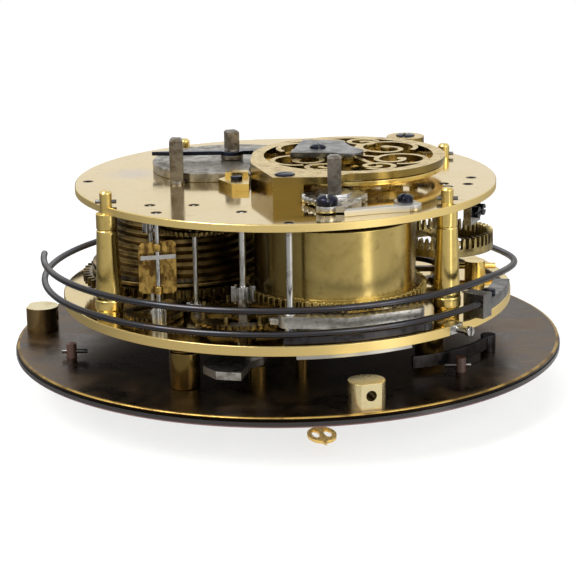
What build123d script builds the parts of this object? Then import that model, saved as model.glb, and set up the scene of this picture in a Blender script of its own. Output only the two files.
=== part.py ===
from build123d import *
from math import atan2, cos, degrees, hypot, pi, radians, sin
import os

# Coach clock movement, dial down and back plate up. Z is up, the centre arbor is the Z axis,
# and z = 0 is the lowest point, the tip of the hand-setting square. Sizes in mm.
os.makedirs("parts", exist_ok=True)

# Plates, each as radius, underside and top
DIAL_PLATE = (55.0, 9.15, 10.0)
PILLAR_PLATE = (45.15, 18.3, 20.2)
TOP_PLATE = (42.04, 40.64, 42.1)
DIAL_R = 55.2

# Arbor positions on the plates
CENTRE = (0.0, 0.0)
FUSEE = (-21.5, -4.2)
GOING = (6.0, 24.0)
THIRD = (21.9, 1.0)
CONTRATE = (31.0, -8.6)
BALANCE = (12.6, 0.0)
STRIKE = (9.2, -23.6)
PIN = (-8.2, -31.0)
STRIKE_THIRD = (-17.3, -24.6)
WARNING = (-25.6, -24.2)
FLY = (-24.0, -30.6)
HAMMER = (0.5, -40.3)
REGULATOR = (-10.9, 10.4)
CLICK = (7.6, -32.5)
SPRING_SCREW = (22.2, -28.8)
MINUTE = (-8.314, 4.8)
PILLARS = ((-33.9, -23.9), (30.3, -25.5), (-21.6, 28.0), (33.2, 18.2))
FEET = ((-19.3, -35.8), (27.5, -20.5), (0.0, 38.0))

# Teeth on wheels and leaves on pinions
GREAT_T, CENTRE_LEAVES = 60, 10
CENTRE_T, THIRD_LEAVES = 60, 8
THIRD_T, CONTRATE_LEAVES = 56, 8
CONTRATE_T, CROWN_LEAVES = 48, 8
BARREL_T, PIN_LEAVES = 72, 8
PIN_T, STRIKE_THIRD_LEAVES = 48, 8
STRIKE_THIRD_T, WARNING_LEAVES = 42, 8
WARNING_T, FLY_LEAVES = 35, 7
CANNON_T, MINUTE_T, MINUTE_LEAVES, HOUR_T = 12, 36, 10, 40


def heading(a, b):
    return degrees(atan2(b[1] - a[1], b[0] - a[0]))


def toward(a, angle, distance):
    return (a[0] + distance * cos(radians(angle)), a[1] + distance * sin(radians(angle)))


def placed(at, angle, points):
    # Points drawn along +X, turned by `angle` and moved to `at`
    return [toward(at, angle + degrees(atan2(y, x)), hypot(x, y)) for x, y in points]


def mesh_module(a, b, teeth, leaves):
    return 2 * hypot(b[0] - a[0], b[1] - a[1]) / (teeth + leaves)


def turned(at, profile, mode=Mode.ADD):
    # A lathe-turned body about the vertical through `at`, from (radius, z) points. A pair of
    # points in one entry is an arc through the first to the second.
    plane = Plane(origin=(at[0], at[1], 0), x_dir=(1, 0, 0), z_dir=(0, -1, 0))
    with BuildSketch(plane) as outline:
        with BuildLine():
            start = profile[0]
            here = start
            for step in profile[1:]:
                if isinstance(step[0], tuple):
                    ThreePointArc(here, step[0], step[1])
                    here = step[1]
                else:
                    Line(here, step)
                    here = step
            if here != start:
                Line(here, start)
        make_face()
    revolve(outline.sketch, axis=Axis((at[0], at[1], 0), (0, 0, 1)), mode=mode)


def rod(at, radius, low, high, mode=Mode.ADD):
    with Locations((at[0], at[1], low)):
        Cylinder(radius, high - low, align=(Align.CENTER, Align.CENTER, Align.MIN), mode=mode)


def bar(a, b, width, low, high, mode=Mode.ADD):
    # A straight bar with round ends between two points
    with BuildSketch(Plane.XY.offset(low)) as outline:
        with Locations(((a[0] + b[0]) / 2, (a[1] + b[1]) / 2)):
            SlotCenterToCenter(hypot(b[0] - a[0], b[1] - a[1]), width, rotation=heading(a, b))
    extrude(outline.sketch, amount=high - low, mode=mode)


def tooth_outline(at, count, module, facing, gap=False):
    # Straight-flanked clock teeth with one tooth, or one gap, centred on the angle `facing`
    pitch = 360 / count
    tip = module * count / 2 + 0.8 * module
    root = module * count / 2 - 1.15 * module
    first = facing + (pitch / 2 if gap else 0)
    points = []
    for tooth in range(count):
        middle = first + tooth * pitch
        for radius, share in ((root, -0.23), (tip, -0.1), (tip, 0.1), (root, 0.23)):
            points.append(toward(at, middle + share * pitch, radius))
    return points


def toothed(at, low, high, count, module, facing, gap=False):
    with BuildSketch(Plane.XY.offset(low)) as outline:
        with BuildLine():
            Polyline(*tooth_outline(at, count, module, facing, gap), close=True)
        make_face()
    extrude(outline.sketch, amount=high - low)


def crossings(at, low, high, inner, outer, arms, width, turn=0):
    # Cuts the windows between a wheel's arms
    with BuildSketch(Plane.XY.offset(low)) as windows:
        with Locations(at):
            Circle(outer)
            Circle(inner, mode=Mode.SUBTRACT)
            for arm in range(arms):
                angle = turn + arm * 360 / arms
                with Locations(toward((0, 0), angle, outer / 2)):
                    Rectangle(outer * 1.2, width, rotation=angle, mode=Mode.SUBTRACT)
    extrude(windows.sketch, amount=high - low, mode=Mode.SUBTRACT)


def wheel(at, low, high, count, module, facing, bore, hub, arms, rim=1.5, turn=0):
    # A brass train wheel with arms, pushed on its arbor
    toothed(at, low, high, count, module, facing)
    outer = module * count / 2 - 1.15 * module - rim
    crossings(at, low, high, hub, outer, arms, rim * 0.85, turn)
    rod(at, bore, low, high, Mode.SUBTRACT)


def keep(name, part, label):
    part.part.label = label
    export_step(part.part, f"parts/{label}.step")
    solids = len(part.part.solids())
    print(name, label, solids, round(part.part.volume, 1))


# Dial plate with its centre hole, foot holes and the marks of the case blocks
DIAL_FEET = ((-42.5, -16.1), (32.8, -29.0), (6.0, 45.5))
BLOCK_ANGLES = (-74.0, 175.0, 50.5)
with BuildPart() as dial_plate:
    with BuildSketch(Plane.XY.offset(DIAL_PLATE[1])):
        Circle(DIAL_PLATE[0])
        Circle(4.2, mode=Mode.SUBTRACT)
        with Locations(*DIAL_FEET):
            Circle(1.05, mode=Mode.SUBTRACT)
    extrude(amount=DIAL_PLATE[2] - DIAL_PLATE[1])
    chamfer(dial_plate.faces().sort_by(Axis.Z)[-1].outer_wire().edges(), 0.2)
keep("dial plate", dial_plate, "dial_plate")

# Domed dial, enamel on copper, with its three copper feet
with BuildPart() as dial:
    rim = DIAL_PLATE[1]
    turned(CENTRE, ((2.9, 6.6), (2.9, 5.6), ((30.0, 6.35), (53.0, 8.05)), (DIAL_R - 0.3, 8.05),
                    (DIAL_R, 8.35), (DIAL_R, rim), (53.6, rim), ((30.0, 7.45), (2.9, 6.6))))
    for foot in DIAL_FEET:
        rod(foot, 1.0, 7.9, 12.8)
        with Locations(Location((foot[0], foot[1], 11.2), (0, 90, 0))):
            Cylinder(0.45, 4, mode=Mode.SUBTRACT)
keep("dial", dial, "dial")

# Case blocks, D-shaped, with a radial threaded hole for a screw through the case band
BLOCK_R = 50.9
with BuildPart() as blocks:
    for angle in BLOCK_ANGLES:
        centre = toward(CENTRE, angle, BLOCK_R)
        with BuildSketch(Plane.XY.offset(DIAL_PLATE[2])):
            with Locations(Location((centre[0], centre[1], 0), (0, 0, angle))):
                Circle(3.4)
        extrude(amount=4.9)
        with BuildSketch(Plane.XY.offset(DIAL_PLATE[2])):
            with Locations(Location((centre[0], centre[1], 0), (0, 0, angle))):
                with Locations((4.8, 0)):
                    Rectangle(4.0, 8.0)
        extrude(amount=5.0, mode=Mode.SUBTRACT)
        across = Location((centre[0], centre[1], DIAL_PLATE[2] + 2.7), (0, 0, angle))
        with Locations(across * Location((0, 0, 0), (0, 90, 0))):
            Cylinder(1.0, 9.0, mode=Mode.SUBTRACT)
keep("blocks", blocks, "case_blocks")

# Pillar plate with pivot holes, the rim slot and the holes for the pillars' rivets
PIVOTS_LOW = ((THIRD, 0.36), (CONTRATE, 0.36), (PIN, 0.46), (STRIKE_THIRD, 0.36), (WARNING, 0.36),
              (FLY, 0.36), (HAMMER, 0.46), (FUSEE, 1.66), (STRIKE, 1.66), (GOING, 1.6))
SLOT_ANGLE = -45.5
with BuildPart() as pillar_plate:
    with BuildSketch(Plane.XY.offset(PILLAR_PLATE[1])):
        Circle(PILLAR_PLATE[0])
        Circle(1.06, mode=Mode.SUBTRACT)
        for at, radius in PIVOTS_LOW:
            with Locations(at):
                Circle(radius, mode=Mode.SUBTRACT)
        with Locations(*PILLARS):
            Circle(1.6, mode=Mode.SUBTRACT)
        with Locations(Location((0, 0, 0), (0, 0, SLOT_ANGLE))):
            with Locations((PILLAR_PLATE[0] - 1.4, 0)):
                Rectangle(4.0, 3.6, mode=Mode.SUBTRACT)
    extrude(amount=PILLAR_PLATE[2] - PILLAR_PLATE[1])
    chamfer(pillar_plate.faces().sort_by(Axis.Z)[-1].outer_wire().edges().filter_by(
        GeomType.CIRCLE).sort_by(SortBy.LENGTH)[-1], 0.15)
keep("pillar plate", pillar_plate, "pillar_plate")

# Pillars turned with a base, a tapering shaft, a ring and a tenon that comes through the top plate,
# and the three short feet that carry the pillar plate over the dial plate
with BuildPart() as pillars:
    for at in PILLARS:
        low, high = PILLAR_PLATE[2], TOP_PLATE[1]
        turned(at, ((0, 18.3), (1.6, 18.3), (1.6, low), (2.45, low), (2.45, low + 1.6),
                    (2.7, low + 2.0), (2.75, low + 3.6), (2.6, low + 3.8), (2.6, low + 4.4),
                    ((2.3, low + 9), (2.0, high - 3.4)), (1.86, high - 3.3), (1.86, high - 3.0),
                    (2.0, high - 2.9), (2.0, high), (1.2, high),
                    (1.2, TOP_PLATE[2] + 2.5), (0.9, TOP_PLATE[2] + 2.9), (0, TOP_PLATE[2] + 2.9)))
    for at in PILLARS:
        with Locations(Location((at[0], at[1], TOP_PLATE[2] + 0.75), (0, 90, 20))):
            Cylinder(0.4, 4, mode=Mode.SUBTRACT)
    for at in FEET:
        turned(at, ((0, 10.0), (2.9, 10.0), (2.9, 16.9), (2.5, 17.3), (2.9, 17.7), (2.9, 18.25),
                    (0, 18.25)))
keep("pillars", pillars, "pillars")

# Taper pins that lock the top plate on the pillars and the dial's feet in the dial plate
with BuildPart() as taper_pins:
    for at in PILLARS:
        with Locations(Location((at[0], at[1], TOP_PLATE[2] + 0.75), (0, 90, 20))):
            Cylinder(0.38, 4.0)
    for foot, back in zip(DIAL_FEET, (1, -1, 1)):
        with Locations(Location((foot[0] + 0.6 * back, foot[1], 11.2), (0, 90, 0))):
            Cylinder(0.43, 5.0)
keep("taper pins", taper_pins, "taper_pins")

# Top plate, with an oil sink round each small pivot hole
PIVOTS_HIGH = ((CENTRE, 0.56), (THIRD, 0.36), (CONTRATE, 0.36), (PIN, 0.46), (STRIKE_THIRD, 0.36),
               (WARNING, 0.36), (FLY, 0.36), (HAMMER, 0.46), (FUSEE, 1.66), (STRIKE, 1.66), (GOING, 1.6),
               (BALANCE, 1.6))
SMALL_HOLES = (((-39.4, -1.5), 0.5), ((35.7, -9.3), 0.7), ((36.9, -3.2), 0.45), ((31.6, -11.4), 0.4))
with BuildPart() as top_plate:
    with BuildSketch(Plane.XY.offset(TOP_PLATE[1])):
        Circle(TOP_PLATE[0])
        for at, radius in PIVOTS_HIGH + SMALL_HOLES:
            with Locations(at):
                Circle(radius, mode=Mode.SUBTRACT)
        with Locations(*PILLARS):
            Circle(1.2, mode=Mode.SUBTRACT)
    extrude(amount=TOP_PLATE[2] - TOP_PLATE[1])
    chamfer(top_plate.faces().sort_by(Axis.Z)[-1].outer_wire().edges(), 0.15)
    face = TOP_PLATE[2]
    for at in (THIRD, CONTRATE, PIN, STRIKE_THIRD, WARNING, FLY, HAMMER):
        turned(at, ((0, face + 0.1), (1.3, face + 0.1), (1.15, face), (0.5, face - 0.35),
                    (0, face - 0.35)), Mode.SUBTRACT)
keep("top plate", top_plate, "top_plate")


# Balance cock: a round table pierced with scrolls, on two feet that clear the balance
TABLE = (45.25, 46.6)
TABLE_R = 19.3
VOLUTES = ((40.0, 10.9, 5.6), (-28.0, 11.6, 4.9), (-66.0, 13.6, 2.9), (75.0, 13.7, 2.9))
with BuildPart() as cock:
    with BuildSketch(Plane.XY.offset(TOP_PLATE[2])):
        with BuildLine():
            Polyline((-2.4, -22.1), (3.4, -21.9), (3.4, -14), (-1.5, -4.0), (-6.9, -4.0), (-6.7, -8.2),
                     close=True)
        make_face()
        with Locations((25.2, 18.8)):
            Circle(3.9)
        with Locations(BALANCE):
            Circle(TABLE_R + 0.15, mode=Mode.SUBTRACT)
    extrude(amount=TABLE[0] - TOP_PLATE[2])
    with BuildSketch(Plane.XY.offset(TABLE[0])):
        with Locations(BALANCE):
            Circle(TABLE_R)
        with Locations((25.2, 18.8)):
            Circle(3.9)
        with BuildLine():
            Polyline((-2.4, -22.1), (7.8, -22.3), (12.6, -19.3), (12.6, 0), (-6.7, 0), (-6.9, -4.0),
                     (-6.7, -8.2), close=True)
        make_face()
        with Locations(BALANCE):
            Circle(16.9, mode=Mode.SUBTRACT)
    extrude(amount=TABLE[1] - TABLE[0])
    # Scrollwork inside the rim: volutes that curl inward to a leaf tip, each on a stem from the boss
    for angle, distance, radius in VOLUTES:
        for side in (1, -1):
            out = angle if side == 1 else 180 - angle
            eye = toward(BALANCE, out, distance)
            first, sweep_angle = out - 75 * side, 290 * side
            end = first + sweep_angle
            small = radius * 0.55
            inner = toward(eye, end, radius - small)
            with BuildSketch(Plane.XY.offset(TABLE[0])):
                with BuildLine():
                    CenterArc(eye, radius, first, sweep_angle)
                    CenterArc(inner, small, end, 190 * side)
                trace(line_width=1.05)
                with Locations(toward(inner, end + 190 * side, small - 0.25)):
                    Circle(radius * 0.2)
                with Locations(toward(BALANCE, out, (2.0 + distance - radius) / 2 + 0.4)):
                    Rectangle(distance - radius - 1.6, 1.1, rotation=out)
            extrude(amount=TABLE[1] - TABLE[0])
    with BuildSketch(Plane.XY.offset(TABLE[0])):
        with Locations(BALANCE):
            Circle(3.4)
            with Locations((-3.4, 2.0)):
                Rectangle(8.0, 6.4)
    extrude(amount=TABLE[1] - TABLE[0])
    rod(BALANCE, 0.24, TABLE[0], TABLE[1], Mode.SUBTRACT)
    for at in ((-0.1, -19.4), (25.2, 19.2)):
        rod(at, 1.0, TOP_PLATE[2], TABLE[1], Mode.SUBTRACT)
        rod(at, 2.0, TABLE[1] - 0.9, TABLE[1], Mode.SUBTRACT)
keep("cock", cock, "balance_cock")


# Steel end plate over the balance pivot
with BuildPart() as endpiece:
    with BuildSketch(Plane.XY.offset(TABLE[1])):
        with BuildLine():
            Polyline((1.0, -2.7), (3.7, 11.2), (11.7, 9.5), (13.1, 3.8), (14.8, 0.5), (12.5, -1.6),
                     (9.9, -3.4), close=True)
        make_face()
        with Locations((12.5, -1.6)):
            Circle(3.1)
    extrude(amount=1.0)
    rod((6.6, 2.4), 0.75, TABLE[1], 48.4, Mode.SUBTRACT)
    rod((6.6, 2.4), 1.7, 47.0, 48.4, Mode.SUBTRACT)
keep("endpiece", endpiece, "endpiece")

# Silvered regulator plate, cut round the balance, and the clamp that holds its edge
with BuildPart() as regulator_plate:
    with BuildSketch(Plane.XY.offset(TOP_PLATE[2])):
        with Locations(REGULATOR):
            Circle(16.3)
            Circle(1.55, mode=Mode.SUBTRACT)
        with Locations(BALANCE):
            Circle(TABLE_R + 0.5, mode=Mode.SUBTRACT)
        with Locations((-2, -8)):
            Rectangle(10, 8, mode=Mode.SUBTRACT)
        with Locations((-13, -6)):
            Rectangle(12, 4, mode=Mode.SUBTRACT)
    extrude(amount=1.8)
keep("regulator plate", regulator_plate, "regulator_plate")
with BuildPart() as clamp:
    for corners, low, high in (
            (((-13.2, -7.7), (-10.4, -12.6), (-7.1, -12.9), (-7.1, -4.6), (-11.6, -4.6)), 0.0, 1.4),
            (((-11.9, -5.8), (-7.3, -5.8), (-7.3, -4.6), (-11.6, -4.6)), 0.0, 2.3),
            (((-11.9, -5.8), (-7.3, -5.8), (-7.4, -3.6), (-10.6, -3.0)), 1.8, 2.3)):
        with BuildSketch(Plane.XY.offset(TOP_PLATE[2] + low)):
            with BuildLine():
                Polyline(*corners, close=True)
            make_face()
        extrude(amount=high - low)
    rod((-9.6, -8.2), 0.6, TOP_PLATE[2], 45, Mode.SUBTRACT)
with BuildPart() as clamp_clear:
    add(clamp.part)
    add(regulator_plate.part, mode=Mode.SUBTRACT)
keep("clamp", clamp_clear, "regulator_clamp")

# Regulator arbor with its setting square, and the blued index hand
with BuildPart() as regulator_arbor:
    turned(REGULATOR, ((0, 42.15), (1.45, 42.15), (1.45, 44.1), (2.3, 44.1), (2.3, 44.9), (1.5, 44.9),
                       (1.5, 46.0), (0, 46.0)))
    with BuildSketch(Plane.XY.offset(46.0)):
        with Locations(REGULATOR):
            Rectangle(2.5, 2.5, rotation=20)
    extrude(amount=3.9)
    chamfer(regulator_arbor.faces().sort_by(Axis.Z)[-1].edges(), 0.3)
keep("regulator arbor", regulator_arbor, "regulator_arbor")
INDEX_ANGLE = 182.0
with BuildPart() as regulator_hand:
    with BuildSketch(Plane.XY.offset(44.95)):
        with Locations(REGULATOR):
            Circle(2.4)
        with BuildLine():
            Polyline(*placed(REGULATOR, INDEX_ANGLE, (
                (0, -1.15), (5, -0.9), (12.7, -0.75), (16.4, -0.1), (16.4, 0.1), (12.7, 0.75),
                (5, 0.9), (0, 1.15), (-4.4, 0.95), (-4.4, -0.95))), close=True)
        make_face()
        with Locations(REGULATOR):
            Circle(1.5, mode=Mode.SUBTRACT)
    extrude(amount=0.8)
keep("regulator hand", regulator_hand, "regulator_hand")

# Potence under the top plate for the balance staff's lower pivot, and the crown wheel's front bearing
CROWN_Z = 34.24
LINE = heading(BALANCE, CONTRATE)
CROWN_AXIS = Plane(origin=(BALANCE[0], BALANCE[1], CROWN_Z), x_dir=(0, 0, 1),
                   z_dir=(cos(radians(LINE)), sin(radians(LINE)), 0))


def along(distance):
    return toward(BALANCE, LINE, distance)


with BuildPart() as potence:
    with BuildSketch(Plane.XY.offset(27.3)):
        with Locations(Location((BALANCE[0], BALANCE[1], 0), (0, 0, LINE))):
            with Locations((-2.2, 0)):
                Rectangle(7.0, 3.2)
    extrude(amount=1.3)
    with BuildSketch(Plane.XY.offset(27.3)):
        with Locations(Location((BALANCE[0], BALANCE[1], 0), (0, 0, LINE))):
            with Locations((-4.2, 0)):
                Rectangle(3.0, 3.2)
    extrude(amount=TOP_PLATE[1] - 27.3)
    rod(BALANCE, 0.24, 27.6, 28.6, Mode.SUBTRACT)
    with BuildSketch(Plane.XY.offset(CROWN_Z - 1.6)):
        with Locations(Location((along(5.4)[0], along(5.4)[1], 0), (0, 0, LINE))):
            Rectangle(1.6, 3.0)
    extrude(amount=TOP_PLATE[1] - CROWN_Z + 1.6)
    with BuildSketch(CROWN_AXIS.offset(3.0)):
        Circle(0.36)
    extrude(amount=6, mode=Mode.SUBTRACT)
keep("potence", potence, "potence")

# Steel counter-potence, from the plate's edge to the crown arbor's rear bearing
with BuildPart() as counter:
    with BuildSketch(Plane.XY.offset(CROWN_Z - 1.3)):
        with Locations(Location((along(13.5)[0], along(13.5)[1], 0), (0, 0, LINE))):
            Rectangle(1.3, 2.2)
    extrude(amount=TOP_PLATE[1] - CROWN_Z + 1.3)
    bar(along(13.5), (35.4, -15.2), 1.5, 38.6, TOP_PLATE[1])
    with BuildSketch(Plane.XY.offset(35.9)):
        with Locations(Location((35.9, -15.8, 0), (0, 0, -24))):
            Rectangle(1.6, 5.6)
    extrude(amount=TOP_PLATE[1] - 35.9)
    with BuildSketch(CROWN_AXIS.offset(11.5)):
        Circle(0.36)
    extrude(amount=4, mode=Mode.SUBTRACT)
    rod(CONTRATE, 0.9, 33, 40.64, Mode.SUBTRACT)
keep("counter potence", counter, "counter_potence")

# Great wheel, and the fusee that stands on it with its winding square
MODULE = mesh_module(FUSEE, CENTRE, GREAT_T, CENTRE_LEAVES)
with BuildPart() as great_wheel:
    toothed(FUSEE, 23.2, 24.9, GREAT_T, MODULE, heading(FUSEE, CENTRE))
    rod(FUSEE, 2.06, 23.2, 24.9, Mode.SUBTRACT)
keep("great wheel", great_wheel, "great_wheel")
GROOVES = 10
FUSEE_LOW, FUSEE_HIGH = 25.2, 39.9
with BuildPart() as fusee:
    pitch = 1.36
    outline = [(2.0, FUSEE_LOW), (17.4, FUSEE_LOW)]
    for groove in range(GROOVES):
        z = FUSEE_LOW + 0.7 + groove * pitch
        share = groove / (GROOVES - 1)
        radius = 17.4 - 5.6 * share ** 0.8
        outline += [(radius, z), (radius - 0.9, z + 0.12), (radius - 0.9, z + pitch - 0.42),
                    (radius - 0.1, z + pitch - 0.3)]
    outline += [(11.6, FUSEE_HIGH - 0.2), (11.4, FUSEE_HIGH), (2.0, FUSEE_HIGH)]
    turned(FUSEE, outline)
keep("fusee", fusee, "fusee")
with BuildPart() as fusee_arbor:
    turned(FUSEE, ((0, 18.4), (1.6, 18.4), (1.6, 20.3), (1.2, 20.4), (1.2, 22.6), (2.0, 22.8),
                   (2.0, 40.3), (1.6, 40.3), (1.6, 42.6), (0, 42.6)))
    with BuildSketch(Plane.XY.offset(42.6)):
        with Locations(FUSEE):
            Rectangle(2.6, 2.6)
    extrude(amount=8.6)
    chamfer(fusee_arbor.faces().sort_by(Axis.Z)[-1].edges(), 0.5)
keep("fusee arbor", fusee_arbor, "fusee_arbor")

# Going barrel, its fixed arbor, and the chain that runs from it to the fusee
with BuildPart() as going_barrel:
    turned(GOING, ((2.56, 25.0), (15.6, 25.0), (15.6, 25.9), (15.0, 25.9), (15.0, 38.9), (15.6, 38.9),
                   (15.6, 39.9), (2.56, 39.9), (2.56, 38.9), (14.0, 38.9), (14.0, 26.0), (2.56, 26.0)))
keep("going barrel", going_barrel, "going_barrel")
with BuildPart() as going_arbor:
    turned(GOING, ((0, 18.3), (1.6, 18.3), (1.6, 20.4), (2.5, 20.4), (2.5, 40.3), (1.6, 40.3),
                   (1.6, 42.1), (0, 42.1)))
keep("going arbor", going_arbor, "going_barrel_arbor")
RUN_Z = (26.14, 26.74)
CHAIN_F, CHAIN_G = 17.05, 15.65
with BuildPart() as chain:
    span = hypot(GOING[0] - FUSEE[0], GOING[1] - FUSEE[1])
    lean = degrees(atan2(CHAIN_F - CHAIN_G, span))
    out = heading(FUSEE, GOING) + 90 - lean
    with BuildSketch(Plane.XY.offset(RUN_Z[0])):
        with BuildLine():
            CenterArc(FUSEE, CHAIN_F, out, 150)
            CenterArc(GOING, CHAIN_G, out, -215)
            Line(toward(FUSEE, out, CHAIN_F), toward(GOING, out, CHAIN_G))
        trace(line_width=0.5)
    extrude(amount=RUN_Z[1] - RUN_Z[0])
keep("chain", chain, "fusee_chain")

# Centre arbor and wheel
with BuildPart() as centre_arbor:
    turned(CENTRE, ((0, 2.4), (0.9, 2.4), (0.9, 17.0), (1.0, 17.0), (1.0, 20.4), (1.5, 20.4), (1.5, 22.9),
                    (0.9, 25.4), (0.9, 40.4), (0.5, 40.4), (0.5, 42.0), (0, 42.0)))
    toothed(CENTRE, 22.9, 25.2, CENTRE_LEAVES, MODULE, heading(CENTRE, FUSEE), True)
keep("centre arbor", centre_arbor, "centre_arbor")
MODULE_C = mesh_module(CENTRE, THIRD, CENTRE_T, THIRD_LEAVES)
with BuildPart() as centre_wheel:
    wheel(CENTRE, 20.6, 21.6, CENTRE_T, MODULE_C, heading(CENTRE, THIRD), 1.5, 4.0, 5)
keep("centre wheel", centre_wheel, "centre_wheel")

# Third arbor and wheel
MODULE_T = mesh_module(THIRD, CONTRATE, THIRD_T, CONTRATE_LEAVES)
with BuildPart() as third_arbor:
    turned(THIRD, ((0, 18.5), (0.3, 18.5), (0.3, 20.4), (0.8, 20.4), (0.8, 23.4), (0.55, 23.8),
                   (0.55, 40.4), (0.3, 40.4), (0.3, 42.0), (0, 42.0)))
    toothed(THIRD, 20.45, 21.75, THIRD_LEAVES, MODULE_C, heading(THIRD, CENTRE), True)
    rod(THIRD, 1.3, 21.75, 23.4)
keep("third arbor", third_arbor, "third_arbor")
with BuildPart() as third_wheel:
    wheel(THIRD, 22.0, 23.0, THIRD_T, MODULE_T, heading(THIRD, CONTRATE), 1.3, 3.4, 5)
keep("third wheel", third_wheel, "third_wheel")

# Contrate arbor, and the contrate wheel with its upright teeth
CONTRATE_R = (8.6, 9.8)
with BuildPart() as contrate_arbor:
    turned(CONTRATE, ((0, 18.5), (0.3, 18.5), (0.3, 20.4), (0.9, 20.4), (0.9, 24.0), (0.5, 24.4),
                      (0.5, 29.0), (1.2, 29.0), (1.2, 30.6), (0.5, 31.0), (0.5, 40.4), (0.3, 40.4),
                      (0.3, 42.0), (0, 42.0)))
    toothed(CONTRATE, 21.6, 23.5, CONTRATE_LEAVES, MODULE_T, heading(CONTRATE, THIRD), True)
keep("contrate arbor", contrate_arbor, "contrate_arbor")
TOOTH = 2 * pi * 9.2 / CONTRATE_T
MESH_ANGLE = heading(CONTRATE, BALANCE)
with BuildPart() as contrate_wheel:
    with BuildSketch(Plane.XY.offset(29.5)):
        with Locations(CONTRATE):
            Circle(CONTRATE_R[1])
    extrude(amount=1.5)
    with BuildSketch(Plane.XY.offset(30.2)):
        with Locations(CONTRATE):
            Circle(CONTRATE_R[0])
    extrude(amount=1.0, mode=Mode.SUBTRACT)
    crossings(CONTRATE, 29.5, 30.2, 2.2, CONTRATE_R[0], 4, 1.3, 10)
    rod(CONTRATE, 1.2, 29.5, 30.2, Mode.SUBTRACT)
    for tooth in range(CONTRATE_T):
        angle = MESH_ANGLE + tooth * 360 / CONTRATE_T
        out = Plane(origin=(*toward(CONTRATE, angle, CONTRATE_R[0] + 0.02), 0),
                    x_dir=(-sin(radians(angle)), cos(radians(angle)), 0),
                    z_dir=(cos(radians(angle)), sin(radians(angle)), 0))
        with BuildSketch(out):
            with BuildLine():
                Polyline((-0.25 * TOOTH, 30.9), (0.25 * TOOTH, 30.9), (0.22 * TOOTH, 32.3),
                         (0.1 * TOOTH, 33.0), (-0.1 * TOOTH, 33.0), (-0.22 * TOOTH, 32.3), close=True)
            make_face()
        extrude(amount=CONTRATE_R[1] - CONTRATE_R[0] - 0.06)
keep("contrate wheel", contrate_wheel, "contrate_wheel")

# Crown wheel on its level arbor
with BuildPart() as crown_arbor:
    for low, high, radius in ((3.0, 4.5, 0.9), (4.5, 6.4, 0.3), (6.4, 12.75, 0.5), (12.75, 14.0, 0.3)):
        with BuildSketch(CROWN_AXIS.offset(low)):
            Circle(radius)
        extrude(amount=high - low)
    with BuildSketch(CROWN_AXIS.offset(9.9)):
        with BuildLine():
            Polyline(*tooth_outline(CENTRE, CROWN_LEAVES, 2 * 9.2 / CONTRATE_T, 180, True), close=True)
        make_face()
    extrude(amount=2.3)
keep("crown arbor", crown_arbor, "crown_arbor")
CROWN_T = 13
with BuildPart() as crown_wheel:
    with BuildSketch(CROWN_AXIS.offset(3.2)):
        Circle(4.4)
        Circle(0.9, mode=Mode.SUBTRACT)
    extrude(amount=0.7)
    with BuildSketch(CROWN_AXIS.offset(2.4)):
        Circle(4.4)
        Circle(3.7, mode=Mode.SUBTRACT)
    extrude(amount=1.0)
    for tooth in range(CROWN_T):
        turn = radians(tooth * 360 / CROWN_T)
        outward = CROWN_AXIS.x_dir * cos(turn) + CROWN_AXIS.y_dir * sin(turn)
        around = CROWN_AXIS.y_dir * cos(turn) - CROWN_AXIS.x_dir * sin(turn)
        flank = Plane(origin=CROWN_AXIS.origin + outward * 3.75, x_dir=around, z_dir=outward)
        with BuildSketch(flank):
            with BuildLine():
                Polyline((-0.75, 2.6), (0.75, 2.6), (0.75, 1.38), (0.55, 1.38), (-0.15, 2.15), close=True)
            make_face()
        extrude(amount=0.6)
keep("crown wheel", crown_wheel, "crown_wheel")

# Balance staff with its two pallets, the balance and its spiral spring
with BuildPart() as staff:
    turned(BALANCE, ((0, 27.7), (0.2, 27.7), (0.2, 28.7), (0.4, 28.9), (0.4, 42.9), (1.0, 42.9),
                     (1.0, 45.0), (0.4, 45.0), (0.2, 45.3), (0.2, 46.5), (0, 46.5)))
    for z, angle in ((CROWN_Z + 4.05, LINE + 40), (CROWN_Z - 4.05, LINE - 40)):
        with BuildSketch(Plane.XY.offset(z - 0.7)):
            with Locations(Location((BALANCE[0], BALANCE[1], 0), (0, 0, angle))):
                with Locations((0.6, 0)):
                    Rectangle(1.2, 0.4)
        extrude(amount=1.4)
keep("staff", staff, "balance_staff")
BALANCE_R = 19.0
with BuildPart() as balance_wheel:
    with BuildSketch(Plane.XY.offset(44.0)):
        with Locations(BALANCE):
            Circle(BALANCE_R)
            Circle(1.0, mode=Mode.SUBTRACT)
    extrude(amount=0.95)
    crossings(BALANCE, 44.0, 44.95, 2.4, BALANCE_R - 1.7, 3, 1.7, 25)
keep("balance wheel", balance_wheel, "balance_wheel")
with BuildPart() as balance_spring:
    with BuildSketch(Plane.XY.offset(42.95)):
        with BuildLine():
            # half turns about two centres, so each turn grows by one pitch
            step, radius, side, here = 0.75, 1.7, 0, (BALANCE[0] + 1.7, BALANCE[1])
            for half in range(9):
                centre_x = here[0] - radius if side == 0 else here[0] + radius
                CenterArc((centre_x, BALANCE[1]), radius, 0 if side == 0 else 180, 180)
                here = (2 * centre_x - here[0], BALANCE[1])
                side = 1 - side
                radius += step / 2
        trace(line_width=0.22)
    extrude(amount=0.55)
keep("balance spring", balance_spring, "balance_spring")

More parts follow.
